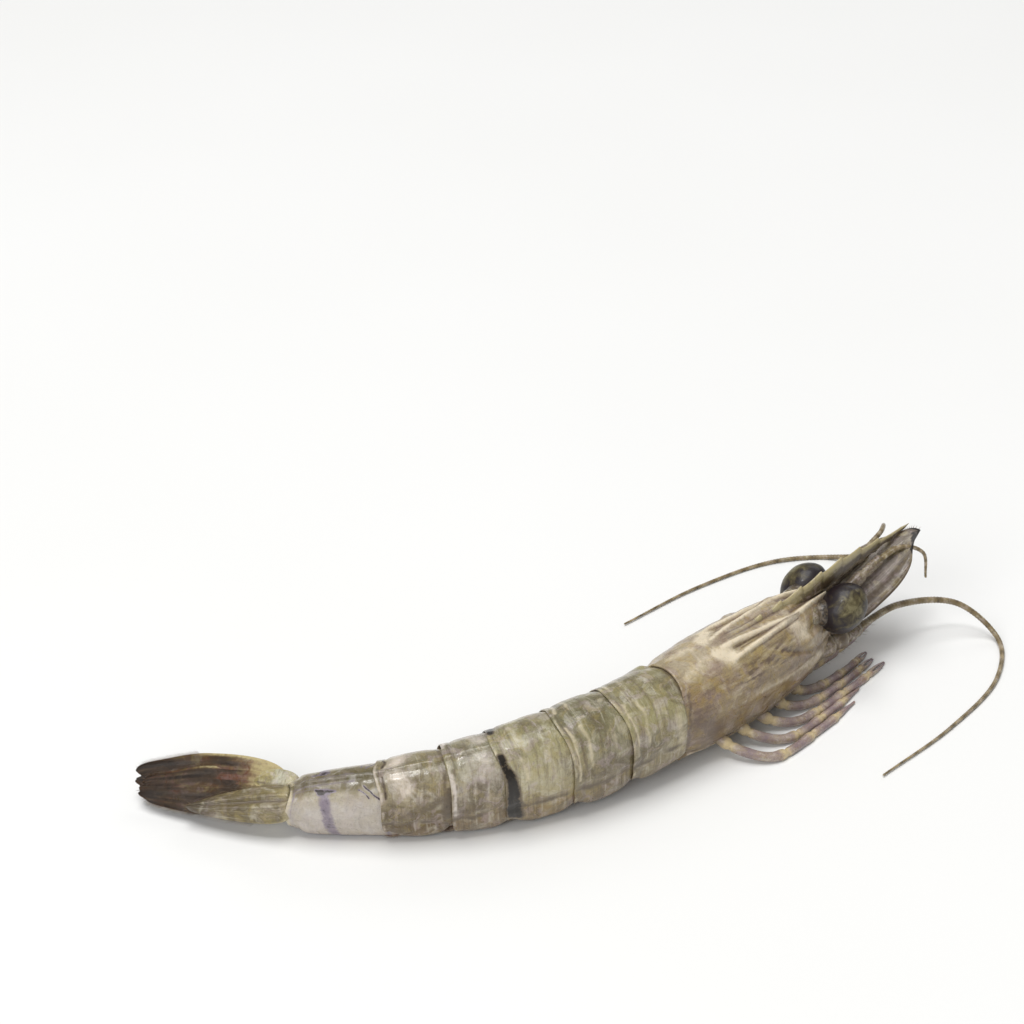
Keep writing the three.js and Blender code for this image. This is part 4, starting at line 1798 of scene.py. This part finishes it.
    def _antenna(self, side: Side) -> list[Object]:
        """The stout base under the scale, and the long whip that sweeps back over the floor.

        Args:
            side: The animal's side.

        Returns:
            The two finished pieces.
        """
        sign = side.value
        front = self.carapace_length
        knuckle = POSTURE.on_head(front + 9.0, sign * 6.4, -2.6)
        heel = POSTURE.on_head(front - 8.0, sign * 5.2, -3.2)
        base = Sculpt(f"antenna_base_{side.label}", POSTURE.stance)
        swell = jointed((0.45, 0.72), 0.2, 0.09)
        add_tube(
            base,
            Route([heel, knuckle]),
            lambda s: lerp(3.0, 2.0, s) * swell(s),
            lambda s: (0.7 * max(hump(s, 0.45, 0.05), hump(s, 0.72, 0.05)), 0.45 * hump(s, 0.6, 0.07)),
            columns=28,
            step=0.25,
        )
        swing = self.WHIP_SWING[side]
        sweep = [self.WHIP_LEAD, *((x, y * swing, z) for x, y, z in self.WHIP_SWEEP)]
        route = Route([knuckle, POSTURE.on_head(front + 24.0, sign * 7.4, -1.6), *side.mirror(sweep)])
        whip = Sculpt(f"antenna_whip_{side.label}", POSTURE.stance)
        add_tube(whip, route, self._annulated(route, 0.95, 0.24), self._belted(route, 5.0), 10, 0.22)
        return [base.finish([self.skins["feeler"]], "feeler"), whip.finish([self.skins["whip"]], "feeler")]


@dataclass
class HairyLimbs:
    """Limbs of one finish that carry hairs of another."""

    skin: CuticleFinish
    hair: CuticleFinish

    @cached_property
    def skins(self) -> list[Material]:
        """The materials of the limbs and their hairs, made once."""
        return [self.skin.build(), self.hair.build()]


@dataclass
class WalkingLegs(HairyLimbs):
    """Five pairs of legs and the leg-like third maxillipeds, folded forward along the floor."""

    lengths: tuple[float, ...] = (30.0, 36.0, 44.0, 38.0, 40.0)
    front_hip: float = 37.0
    hip_pitch: float = 7.0
    inner_lane: float = 5.6
    lane_pitch: float = 2.9
    pincer_legs: int = 3
    joints: tuple[float, ...] = (0.16, 0.44, 0.64, 0.84)

    # The left maxilliped's way under the head, in the head's frame, in mm.
    MAXILLIPED_POINTS = ((36.0, 3.2, -6.0), (46.0, 4.0, -10.0), (60.0, 4.2, -9.4), (72.0, 3.4, -7.0))
    PINCER_START = 0.88  # share of the length at which the shaft of a leg with pincers stops

    def build(self) -> list[Object]:
        """Model and dress the legs of both sides.

        Returns:
            The finished pieces.
        """
        pieces = []
        for side in Side:
            pieces += [self._maxilliped(side), *(self._leg(side, index) for index in range(len(self.lengths)))]
        return pieces

    def _paint(self, share: float) -> Pair:
        """Yellow joints, and a lilac shade behind each."""
        pale, dark = (max(hump(share, j + back, w) for j in self.joints) for back, w in ((0.0, 0.035), (0.1, 0.05)))
        return 0.9 * pale, 0.34 * dark

    @staticmethod
    def _bristles(route: Route, start: float, count: int, length: float, seed: int) -> list[Hair]:
        """Sparse bristles along a limb, leaning forward.

        Args:
            route: The limb's middle line.
            start: Share of the length at which they begin.
            count: How many there are.
            length: Their length in mm.
            seed: Seed of the random places.

        Returns:
            Root and tip of each bristle.
        """
        draw = random.Random(seed)
        lines = []
        for _ in range(count):
            point, tangent, normal, binormal = route.frame(draw.uniform(start, 0.98))
            angle = draw.uniform(0.0, math.tau)
            out = normal * math.cos(angle) + binormal * math.sin(angle)
            way = (out + 0.9 * tangent).normalized()
            lines.append((point + 0.5 * out, point + 0.5 * out + way * length * draw.uniform(0.6, 1.1)))
        return lines

    def _maxilliped(self, side: Side) -> Object:
        """A bristly limb in front of the legs, under the head.

        Args:
            side: The animal's side.

        Returns:
            The finished piece.
        """
        sign = side.value
        route = Route([POSTURE.on_head(x, sign * y, z) for x, y, z in self.MAXILLIPED_POINTS])
        sculpt = Sculpt(f"maxilliped_{side.label}", POSTURE.stance)
        sculpt.hairs(self._bristles(route, 0.35, 90, 2.0, 40 + sign), 0.08, slot=1)
        swell = jointed((0.35, 0.6, 0.8), 0.16, 0.05)
        add_tube(sculpt, route, lambda s: lerp(1.7, 0.75, s) * swell(s), self._paint, columns=18, step=0.3)
        return sculpt.finish(self.skins, "leg")

    def _leg(self, side: Side, index: int) -> Object:
        """One walking leg. The first three pairs end in small pincers, the others in a claw.

        Args:
            side: The animal's side.
            index: 0 for the front leg.

        Returns:
            The finished piece.
        """
        sign, length = side.value, self.lengths[index]
        hip = self.front_hip - self.hip_pitch * index
        lane = self.inner_lane + self.lane_pitch * index
        points = [
            POSTURE.on_head(hip, sign * 4.2, -7.6),
            Vector((hip + 3.0, sign * (0.55 * lane + 3.0), 3.2)),
            Vector((hip + 9.0, sign * (lane + 1.4), 1.3)),
            Vector((hip + 0.65 * length, sign * (lane + 1.2), 0.9)),
            Vector((hip + length, sign * (lane - 0.6), 0.6)),
        ]
        route = Route(points)
        sculpt = Sculpt(f"leg_{index + 1}_{side.label}", POSTURE.stance)
        sculpt.hairs(self._bristles(route, 0.55, 14, 1.1, 60 + 10 * index + sign), 0.06, slot=1)
        swell = jointed(self.joints, 0.2, 0.035)
        pincers = index < self.pincer_legs
        stop = self.PINCER_START if pincers else 1.0
        shaft = Route([route.frame(stop * i / 16.0)[0] for i in range(17)])
        end_size = 0.85 if pincers else 0.3

        def radius(share: float) -> float:
            """The shaft's radius at a share of its length."""
            taper = lerp(1.35, 0.8, share * stop)
            return lerp(taper, end_size, smooth(0.82, 1.0, share)) * swell(share * stop)

        add_tube(sculpt, shaft, radius, lambda s: self._paint(s * stop), columns=16, step=0.3)
        if pincers:
            point, tangent, normal, binormal = route.frame(0.87)
            reach = 0.13 * route.length
            for way in (0.42, -0.42):
                spine = [
                    point + binormal * way,
                    point + tangent * 0.5 * reach + binormal * way * 1.25,
                    point + tangent * reach + binormal * way * 0.4,
                ]
                add_tube(sculpt, Route(spine), lambda s: lerp(0.56, 0.18, s), lambda s: (0.0, 0.5 * s), 10, 0.25)
        return sculpt.finish(self.skins, "leg")


@dataclass
class Swimmerets(HairyLimbs):
    """A stout stem and a fringed leaf under each side of the first five rings, laid back."""

    pairs: int = 5
    lean: float = 0.25

    def build(self) -> list[Object]:
        """Model and dress the swimmerets of both sides."""
        return [self._one(index, side) for index in range(self.pairs) for side in Side]

    def _one(self, index: int, side: Side) -> Object:
        """One swimmeret in the frame of its ring.

        Args:
            index: 0 for the front ring.
            side: The animal's side.

        Returns:
            The finished piece.
        """
        sign, length = side.value, POSTURE.ring_lengths[index]
        middle = -0.42 * length
        start = sum(POSTURE.ring_lengths[:index])
        depth = AbdomenRing.SECTIONS.size(start - middle).bottom
        sculpt = Sculpt(f"swimmeret_{index + 1}_{side.label}", POSTURE.ring(index))
        leaf = Blade(
            0.72 * length,
            width=4.6,
            thickness=1.3,
            fullest=0.55,
            bluntness=(2.2, 2.2),
            droop=0.8,
            seed=20.0 + index,
            rows=40,
            columns=32,
        )
        turn = Matrix.Rotation(sign * self.lean, 4, "X")
        place = Matrix.Translation((middle - 1.2, sign * 4.2, -depth + 1.9)) @ turn
        rim = [leaf.point(t / 10.0, 0.5 * math.pi * quarter) for t in range(1, 10) for quarter in range(4)]
        lowest = min((POSTURE.ring(index) @ place @ point).z for point in rim)
        place = Matrix.Translation((0.0, 0.0, max(0.3 - lowest, 0.0))) @ place
        lines = [(place @ root, place @ tip) for root, tip in leaf.hair_lines(0.25, 0.5, (1, -1))]
        sculpt.hairs(lines, 0.06, slot=1)
        stem = Route([(middle, sign * 4.0, -depth + 5.5), (middle - 2.0, sign * 4.6, -depth + 1.8)])
        add_tube(sculpt, stem, lambda s: lerp(1.7, 1.3, s), lambda s: (0.6 * hump(s, 0.9, 0.15), 0.0), 16, 0.3)
        leaf.add_to(sculpt, place)
        return sculpt.finish(self.skins, "swimmeret")


# Studio

@dataclass(frozen=True)
class Studio:
    """White paper floor, soft overhead light, and the camera in front of the animal and above it."""

    aim: Triple = (-18.8, 82.6, 0.0)
    distance: float = 700.0
    elevation: float = 32.0
    sensor: float = 36.0
    lens: float = 90.93
    floor_side: float = 6000.0
    sky: float = 0.3

    def build(self, paper: PaperFinish) -> None:
        """Set up the floor, the lights and the camera.

        Args:
            paper: Finish of the floor.
        """
        bpy.context.scene.view_settings.view_transform = "Standard"
        self._floor(paper)
        self._camera()
        self._sky()
        self._lamp("overhead_softbox", (-0.25, 0.05, 2.25), (1.5, 1.25), 31.0)
        self._lamp("glint_softbox", (-0.5, -0.75, 2.25), (0.4, 0.3), 10.0)
        self._lamp("front_softbox", (-1.1, -2.0, 1.4), (1.75, 1.25), 27.0)
        self._lamp("rear_softbox", (1.25, 2.25, 1.75), (2.0, 1.0), 10.0)

    def _floor(self, paper: PaperFinish) -> None:
        """A wide sheet of paper at the level the animal lies on.

        Args:
            paper: Its finish.
        """
        mesh = bmesh.new()
        bmesh.ops.create_grid(mesh, x_segments=8, y_segments=8, size=0.5 * self.floor_side * MM)
        data = bpy.data.meshes.new("studio_floor")
        mesh.to_mesh(data)
        mesh.free()
        data.materials.append(paper.build())
        floor = bpy.data.objects.new("studio_floor", data)
        bpy.context.scene.collection.objects.link(floor)

    def _camera(self) -> None:
        """Add the camera, level and centred on the aim."""
        lens = bpy.data.cameras.new("camera")
        lens.sensor_width = self.sensor
        lens.lens = self.lens
        lens.clip_start = 0.01
        camera = bpy.data.objects.new("camera", lens)
        rise = math.radians(self.elevation)
        back = Vector((0.0, -math.cos(rise), math.sin(rise))) * self.distance
        camera.location = (Vector(self.aim) + back) * MM
        camera.rotation_euler = (math.pi / 2.0 - rise, 0.0, 0.0)
        bpy.context.scene.collection.objects.link(camera)
        bpy.context.scene.camera = camera

    def _sky(self) -> None:
        """Add even white light from all round."""
        world = bpy.data.worlds.new("studio_sky")
        world.use_nodes = True
        background = next(n for n in world.node_tree.nodes if n.type == "BACKGROUND")
        background.inputs["Color"].default_value = (1.0, 1.0, 1.0, 1.0)
        background.inputs["Strength"].default_value = self.sky
        bpy.context.scene.world = world

    @staticmethod
    def _lamp(name: str, place: Triple, size: Pair, power: float) -> None:
        """One soft rectangular lamp that faces the animal.

        Args:
            name: The lamp's name.
            place: Where it hangs, in metres.
            size: Its two sides, in metres.
            power: Its power in watts.
        """
        light = bpy.data.lights.new(name, "AREA")
        light.shape = "RECTANGLE"
        light.size, light.size_y = size
        light.energy = power
        lamp = bpy.data.objects.new(name, light)
        lamp.location = place
        lamp.rotation_euler = Vector(place).to_track_quat("Z", "Y").to_euler()
        bpy.context.scene.collection.objects.link(lamp)


# Finishes of this animal

# Chitin of the abdomen, grown as one thin skin over the flesh: a wet gloss over olive and lilac patches.
RINGS = (
    CuticleFinish(
        "chitin_olive_front_ring",
        ((0.0, "#857e5c"), (0.2, "#979068"), (0.36, "#9d9576"), (0.5, "#8c8060"), (0.62, "#857450"), (0.8, "#8c785e")),
    ),
    CuticleFinish(
        "chitin_olive_second_ring",
        (
            (0.0, "#6d694c"), (0.16, "#807b5c"), (0.32, "#908970"),
            (0.46, "#857a5c"), (0.54, "#7d6b49"), (0.8, "#947e62"),
        ),
    ),
    CuticleFinish(
        "chitin_olive_banded_ring",
        (
            (0.0, "#847e5a"), (0.16, "#9c9572"), (0.32, "#b0a88c"),
            (0.46, "#a4976f"), (0.54, "#957f54"), (0.8, "#947c5e"),
        ),
        dark="#17120e",
    ),
    CuticleFinish(
        "chitin_grey_fourth_ring",
        (
            (0.0, "#747054"), (0.14, "#8d8770"), (0.28, "#a59c90"),
            (0.42, "#8d8169"), (0.52, "#7e6b4e"), (0.8, "#947e66"),
        ),
        # This pale tint serves the pale seams and the painted highlight high on the flank.
        pale="#d0c6bc",
    ),
    CuticleFinish(
        "chitin_brown_fifth_ring",
        (
            (0.0, "#70684c"), (0.14, "#8b8166"), (0.28, "#968a70"),
            (0.42, "#6d5f3e"), (0.52, "#675434"), (0.8, "#937c62"),
        ),
        # This pale tint serves the pale seams and the painted highlight high on the flank.
        pale="#d0c4b6",
    ),
    # The pale lilac-white flank of the last ring is partly its own colour and partly a painted sheen, and so is the
    # lilac at the soft edges of its dark marks.
    CuticleFinish(
        "chitin_lilac_last_ring",
        (
            (0.0, "#5d5539"), (0.12, "#6b6244"), (0.18, "#827858"), (0.25, "#b2a997"),
            (0.36, "#c0b8af"), (0.55, "#beb5aa"), (0.8, "#a08c74"),
        ),
        stain_and_shade="#7f7482",
        mottle="#948a78",
        bloom="#cdc8c2",
        mottle_share=0.4,
        flush_share=0.12,
        tinge_share=0.1,
        streak_share=0.14,
        vein_share=0.08,
        speckle_share=0.15,
    ),
)
PALE, DARK = Tone
# Strokes on each ring. The thin pale arcs across the first four rings are pale seams with a painted highlight along
# each; the broad pale patches high on the fourth and fifth rings are painted highlights.
RING_MARKS = (
    (
        # Pale seam arcs ahead of the rear lip, each with a painted highlight along it.
        Mark(PALE, (13.3, 14.0), (13.7, 80.0), 0.5, 0.8),
        Mark(PALE, (10.6, 18.0), (10.8, 70.0), 0.5, 0.55),
        Mark(PALE, (7.4, 24.0), (7.6, 60.0), 0.6, 0.35),
        Mark(PALE, (2.8, 56.0), (2.4, 95.0), 1.2, 0.55),
    ),
    (
        Mark(PALE, (13.5, 14.0), (13.7, 80.0), 0.5, 0.85),
        Mark(PALE, (10.8, 18.0), (10.9, 66.0), 0.5, 0.6),
        Mark(PALE, (5.2, 26.0), (5.0, 58.0), 0.7, 0.4),
        Mark(DARK, (12.2, 20.0), (12.2, 70.0), 0.4, 0.3),
        Mark(DARK, (2.0, 76.0), (10.0, 82.0), 1.6, 0.24, wander=1.5),
    ),
    (
        Mark(DARK, (15.3, 22.0), (14.1, 104.0), 0.95, flare=2.2, edge=3),
        Mark(PALE, (11.4, 34.0), (11.0, 58.0), 0.8, 0.6),
        Mark(PALE, (5.8, 24.0), (5.4, 66.0), 0.7, 0.4),
        Mark(DARK, (2.0, 40.0), (3.0, 84.0), 1.2, 0.22, wander=1.5),
    ),
    (
        Mark(PALE, (11.8, 30.0), (11.6, 88.0), 0.5, 0.95, wander=0.3),
        # Painted highlight: a broad pale sheen high on the flank.
        Mark(PALE, (5.0, 16.0), (5.6, 34.0), 3.6, 0.5),
        Mark(PALE, (4.2, 40.0), (4.6, 74.0), 0.5, 0.4),
        Mark(PALE, (7.6, 34.0), (7.3, 62.0), 0.5, 0.4),
        Mark(DARK, (6.0, 84.0), (12.0, 82.0), 0.9, 0.3),
    ),
    (
        Mark(DARK, (-0.6, 48.0), (-0.2, 88.0), 1.4, 0.5),
        # Painted highlight: a white patch high on the flank, ahead of the rear lip.
        Mark(PALE, (9.6, 10.0), (8.6, 42.0), 2.2, 0.7),
        Mark(DARK, (2.0, 62.0), (9.0, 82.0), 1.8, 0.36, wander=1.8),
        Mark(DARK, (11.6, 10.0), (12.4, 46.0), 0.35, 0.8, wander=1.2),
    ),
    (
        Mark(DARK, (14.0, 24.0), (11.6, 125.0), 1.35, 0.55, wander=0.3, edge=3),
        Mark(DARK, (14.4, 24.0), (14.2, 27.0), 1.1, wander=1.4, edge=4),
        Mark(DARK, (12.9, 25.0), (15.9, 20.0), 0.6, wander=2.2, edge=3),
        Mark(DARK, (5.0, 20.0), (1.6, 46.0), 0.26, wander=1.8, edge=4),
        Mark(DARK, (6.4, 27.0), (4.2, 44.0), 0.2, wander=2.2, edge=4),
        Mark(DARK, (8.0, 9.0), (21.0, 10.0), 0.6, 0.3),
        Mark(DARK, (15.6, 17.0), (21.0, 19.0), 0.5, 0.28),
        Mark(PALE, (21.5, 8.0), (21.7, 120.0), 0.5, 0.75),
    ),
)
RING_FORMS = (
    {"front_lobe": True},
    {},
    {},
    {"keel": 0.4, "lip": -1.2, "back_reach": 1.6},
    {"keel": 0.6},
    {"keel": 0.8, "lip": -1.0, "back_reach": 0.0, "narrowing": 0.26},
)
# Chitin of the carapace, thicker and combed lengthwise: brown streaks, with cream on the ridges.
SHIELD = CuticleFinish(
    "chitin_brown_carapace",
    (
        (0.0, "#a0937a"), (0.1, "#9d8f70"), (0.2, "#9f8f6a"), (0.34, "#958360"),
        (0.48, "#7f693f"), (0.66, "#705b34"), (0.9, "#84714f"),
    ),
    pale="#e0d3ba",
    stain_and_shade="#5f4d40",
    mottle="#826c62",
    bloom="#c4b6a0",
    flush="#a08c8a",
    tinge="#a88f48",
    tinge_share=0.4,
    streaks=(5.0, 22.0),
    streak_share=0.4,
)
SHIELD_MARKS = (
    Mark(PALE, (14.0, 9.0), (37.0, 20.0), 0.7, 0.95),
    Mark(PALE, (15.0, 29.0), (36.0, 22.5), 0.7, 0.95),
    Mark(PALE, (36.0, 22.0), (52.0, 14.0), 0.9, 0.95),
    Mark(PALE, (12.0, 13.0), (15.5, 25.0), 2.2, 0.95),
    Mark(PALE, (2.0, 18.0), (12.0, 14.0), 2.4, 0.5),
    Mark(PALE, (38.0, 30.0), (43.0, 50.0), 2.6, 0.68),
    Mark(PALE, (20.0, 80.0), (46.0, 92.0), 0.8, 0.5),
    Mark(PALE, (2.0, 133.0), (48.0, 133.0), 0.7, 0.7),
    Mark(DARK, (17.0, 17.0), (40.0, 21.5), 0.34, 0.42, wander=1.0),
    Mark(DARK, (19.0, 22.0), (33.0, 22.6), 0.22, 0.4, wander=0.8),
    Mark(DARK, (22.0, 32.0), (40.0, 27.0), 0.3, 0.42, wander=1.0),
    Mark(DARK, (18.0, 4.0), (35.0, 4.0), 0.42, 0.38, wander=1.0),
    Mark(DARK, (38.0, 13.0), (52.0, 7.0), 0.8, 0.45),
    Mark(DARK, (22.0, 66.0), (46.0, 82.0), 1.6, 0.3),
    Mark(DARK, (3.0, 76.0), (8.0, 100.0), 4.0, 0.4),
    # Painted shadow along the rear edge, where the first ring's lobe lies over the shield.
    Mark(DARK, (0.2, 40.0), (0.6, 116.0), 0.7, 0.36),
)
SHIELD_RIDGES = (
    Ridge(0.7, 3.6, ((17.0, 29.0), (36.0, 22.0), (52.0, 14.0)), (12.0, 20.0)),
    Ridge(0.6, 3.2, ((16.0, 9.0), (36.0, 20.0)), (12.0, 20.0), (34.0, 40.0)),
    Ridge(-0.55, 3.0, ((17.0, 19.275), (36.0, 21.0), (52.0, 21.4)), (12.0, 20.0), (32.0, 37.0)),
    Ridge(-0.7, 4.5, ((36.0, 13.0), (52.0, 5.0)), (36.0, 42.0)),
    Ridge(0.7, 3.0, ((0.0, 0.0),), (22.0, 34.0)),
    Ridge(-0.4, 2.4, ((0.0, 4.5),), (18.0, 24.0), (32.0, 38.0)),
    Ridge(0.4, 4.5, ((26.0, 39.0), (44.0, 89.0)), (25.0, 29.0), (41.0, 46.0)),
    Ridge(-0.6, 4.2, ((26.0, 30.0), (44.0, 80.0)), (25.0, 29.0), (41.0, 46.0)),
    Ridge(0.45, 3.4, ((0.0, 95.0),), (28.0, 38.0)),
    Ridge(-0.5, 3.6, ((0.0, 87.0),), (28.0, 38.0)),
    Ridge(0.4, 4.0, ((0.0, 62.0),), (38.0, 46.0)),
    Ridge(0.3, 4.0, ((0.0, 134.0),)),
    Ridge(-0.5, 3.0, ((0.0, 126.0),)),
)
# Horn-like chitin of the rostrum, worn thin at its edge: a light upper edge over a dark rib.
HORN = CuticleFinish(
    "chitin_rostrum_blade",
    ((0.0, "#8d8359"), (0.3, "#7b6f4a"), (0.5, "#5d4f38"), (0.75, "#7c6f58"), (1.0, "#8a7c64")),
    pale="#b0a37c",
    stain_and_shade="#463826",
    streaks=(6.0, 18.0),
    mottle_share=0.35,
)
# Grooved chitin of the telson: olive, lined lengthwise, paler at the joint.
TELSON = CuticleFinish(
    "chitin_olive_telson",
    ((0.0, "#9e926a"), (0.2, "#726743"), (0.55, "#63573a"), (0.85, "#554a31"), (1.0, "#423725")),
    layout=Layout.ALONG,
    pale="#b5aa88",
    streaks=(2.0, 26.0),
    streak_share=0.5,
    flush_share=0.16,
    mottle="#4d4330",
)
# Papery chitin of the tail blades, dried at the ends: dull brown-black, with yellow at the root.
FAN = CuticleFinish(
    "chitin_dark_tail_blade",
    ((0.0, "#a69b74"), (0.14, "#857850"), (0.28, "#5a4730"), (0.5, "#48341f"), (0.8, "#3a281a"), (1.0, "#4a2c1c")),
    layout=Layout.ALONG,
    pale="#b2a477",
    stain_and_shade="#35291e",
    dark="#22170e",
    mottle="#663626",
    bloom="#7d6a48",
    bloom_share=0.5,
    flush_share=0.1,
    tinge="#6a6437",
    tinge_share=0.36,
    shine=0.2,
    coat=0.12,
    streaks=(2.0, 30.0),
    streak_share=0.4,
)
# Soft chitin of the tail's joint, thin over the muscle: pale and blotched, its palest middle partly a painted
# highlight.
HEEL = CuticleFinish(
    "chitin_pale_tail_joint",
    ((0.0, "#a89d74"), (0.45, "#b5b39f"), (0.7, "#a49a6c"), (1.0, "#8d8252")),
    layout=Layout.ALONG,
    pale="#c3bc8c",
    mottle="#857b50",
    patch_mm=3.0,
)
# Stiff flat chitin of the antennal scales: grey, ruled lengthwise, with a black tip.
SCALE_PLATE = CuticleFinish(
    "chitin_grey_antennal_scale",
    ((0.0, "#7d705a"), (0.3, "#80746a"), (0.7, "#776b62"), (1.0, "#5f5346")),
    layout=Layout.ALONG,
    pale="#a3978a",
    stain_and_shade="#50443a",
    dark="#171311",
    streaks=(2.0, 26.0),
    shine=0.24,
    coat=0.25,
)
# Soft chitin of the eye stalks: olive that darkens towards the eye.
STALK = CuticleFinish(
    "chitin_eye_stalk", ((0.0, "#776c4f"), (0.5, "#5f543f"), (1.0, "#382f24")), layout=Layout.ALONG, patch_mm=2.0
)
# Ringed chitin of the feelers' stems: grey-brown, paler at the joints.
FEELER = CuticleFinish(
    "chitin_feeler_stem",
    ((0.0, "#7f7260"), (0.5, "#75685a"), (1.0, "#685a48")),
    layout=Layout.ALONG,
    pale="#a5977c",
    patch_mm=2.5,
)
# Springy chitin of the whips, in hundreds of short joints: fine brown belts.
WHIP = CuticleFinish(
    "chitin_feeler_whip",
    ((0.0, "#86785a"), (0.5, "#938364"), (1.0, "#a08f6c")),
    layout=Layout.ALONG,
    stain_and_shade="#746446",
    patch_mm=2.5,
)
# Clear chitin of the legs over pink flesh: lilac between yellow joints.
LEG = CuticleFinish(
    "chitin_lilac_leg",
    ((0.0, "#9c8d76"), (0.4, "#9f8f84"), (0.75, "#9b867e"), (1.0, "#8f7068")),
    layout=Layout.ALONG,
    pale="#c9b68a",
    stain_and_shade="#7a6870",
    mottle="#8a7668",
    speckle_share=0.25,
    patch_mm=2.5,
)
# Soft chitin of the swimmerets: a pinkish brown leaf with a lighter rim.
PADDLE = CuticleFinish(
    "chitin_pink_swimmeret",
    ((0.0, "#a08b70"), (0.5, "#957a6a"), (1.0, "#7d6258")),
    layout=Layout.ALONG,
    pale="#bdab86",
    stain_and_shade="#705650",
    patch_mm=2.5,
)
# Hair-thin chitin of the bristles: plain dull brown, seen only as a fringe.
BRISTLE = CuticleFinish(
    "chitin_bristle_brown",
    ((0.0, "#5f4c3a"), (1.0, "#6b5340")),
    layout=Layout.ALONG,
    speckle_share=0.0,
    coat=0.0,
    glow=0.0,
)


def main() -> None:
    """Build the studio and the animal."""
    logging.basicConfig(level=logging.INFO, format="%(name)s %(message)s")
    Studio().build(PaperFinish())
    Carapace(SHIELD, HORN, SHIELD_MARKS, SHIELD_RIDGES).build()
    for index, (finish, marks, form) in enumerate(zip(RINGS, RING_MARKS, RING_FORMS)):
        AbdomenRing(index, finish, marks, **form).build()
    TailFan(TELSON, FAN, HEEL, BRISTLE).build()
    HeadLimbs(CorneaFinish(), STALK, SCALE_PLATE, FEELER, WHIP, BRISTLE).build()
    WalkingLegs(LEG, BRISTLE).build()
    Swimmerets(PADDLE, BRISTLE).build()
    bpy.context.view_layer.update()


if __name__ == "__main__":
    main()
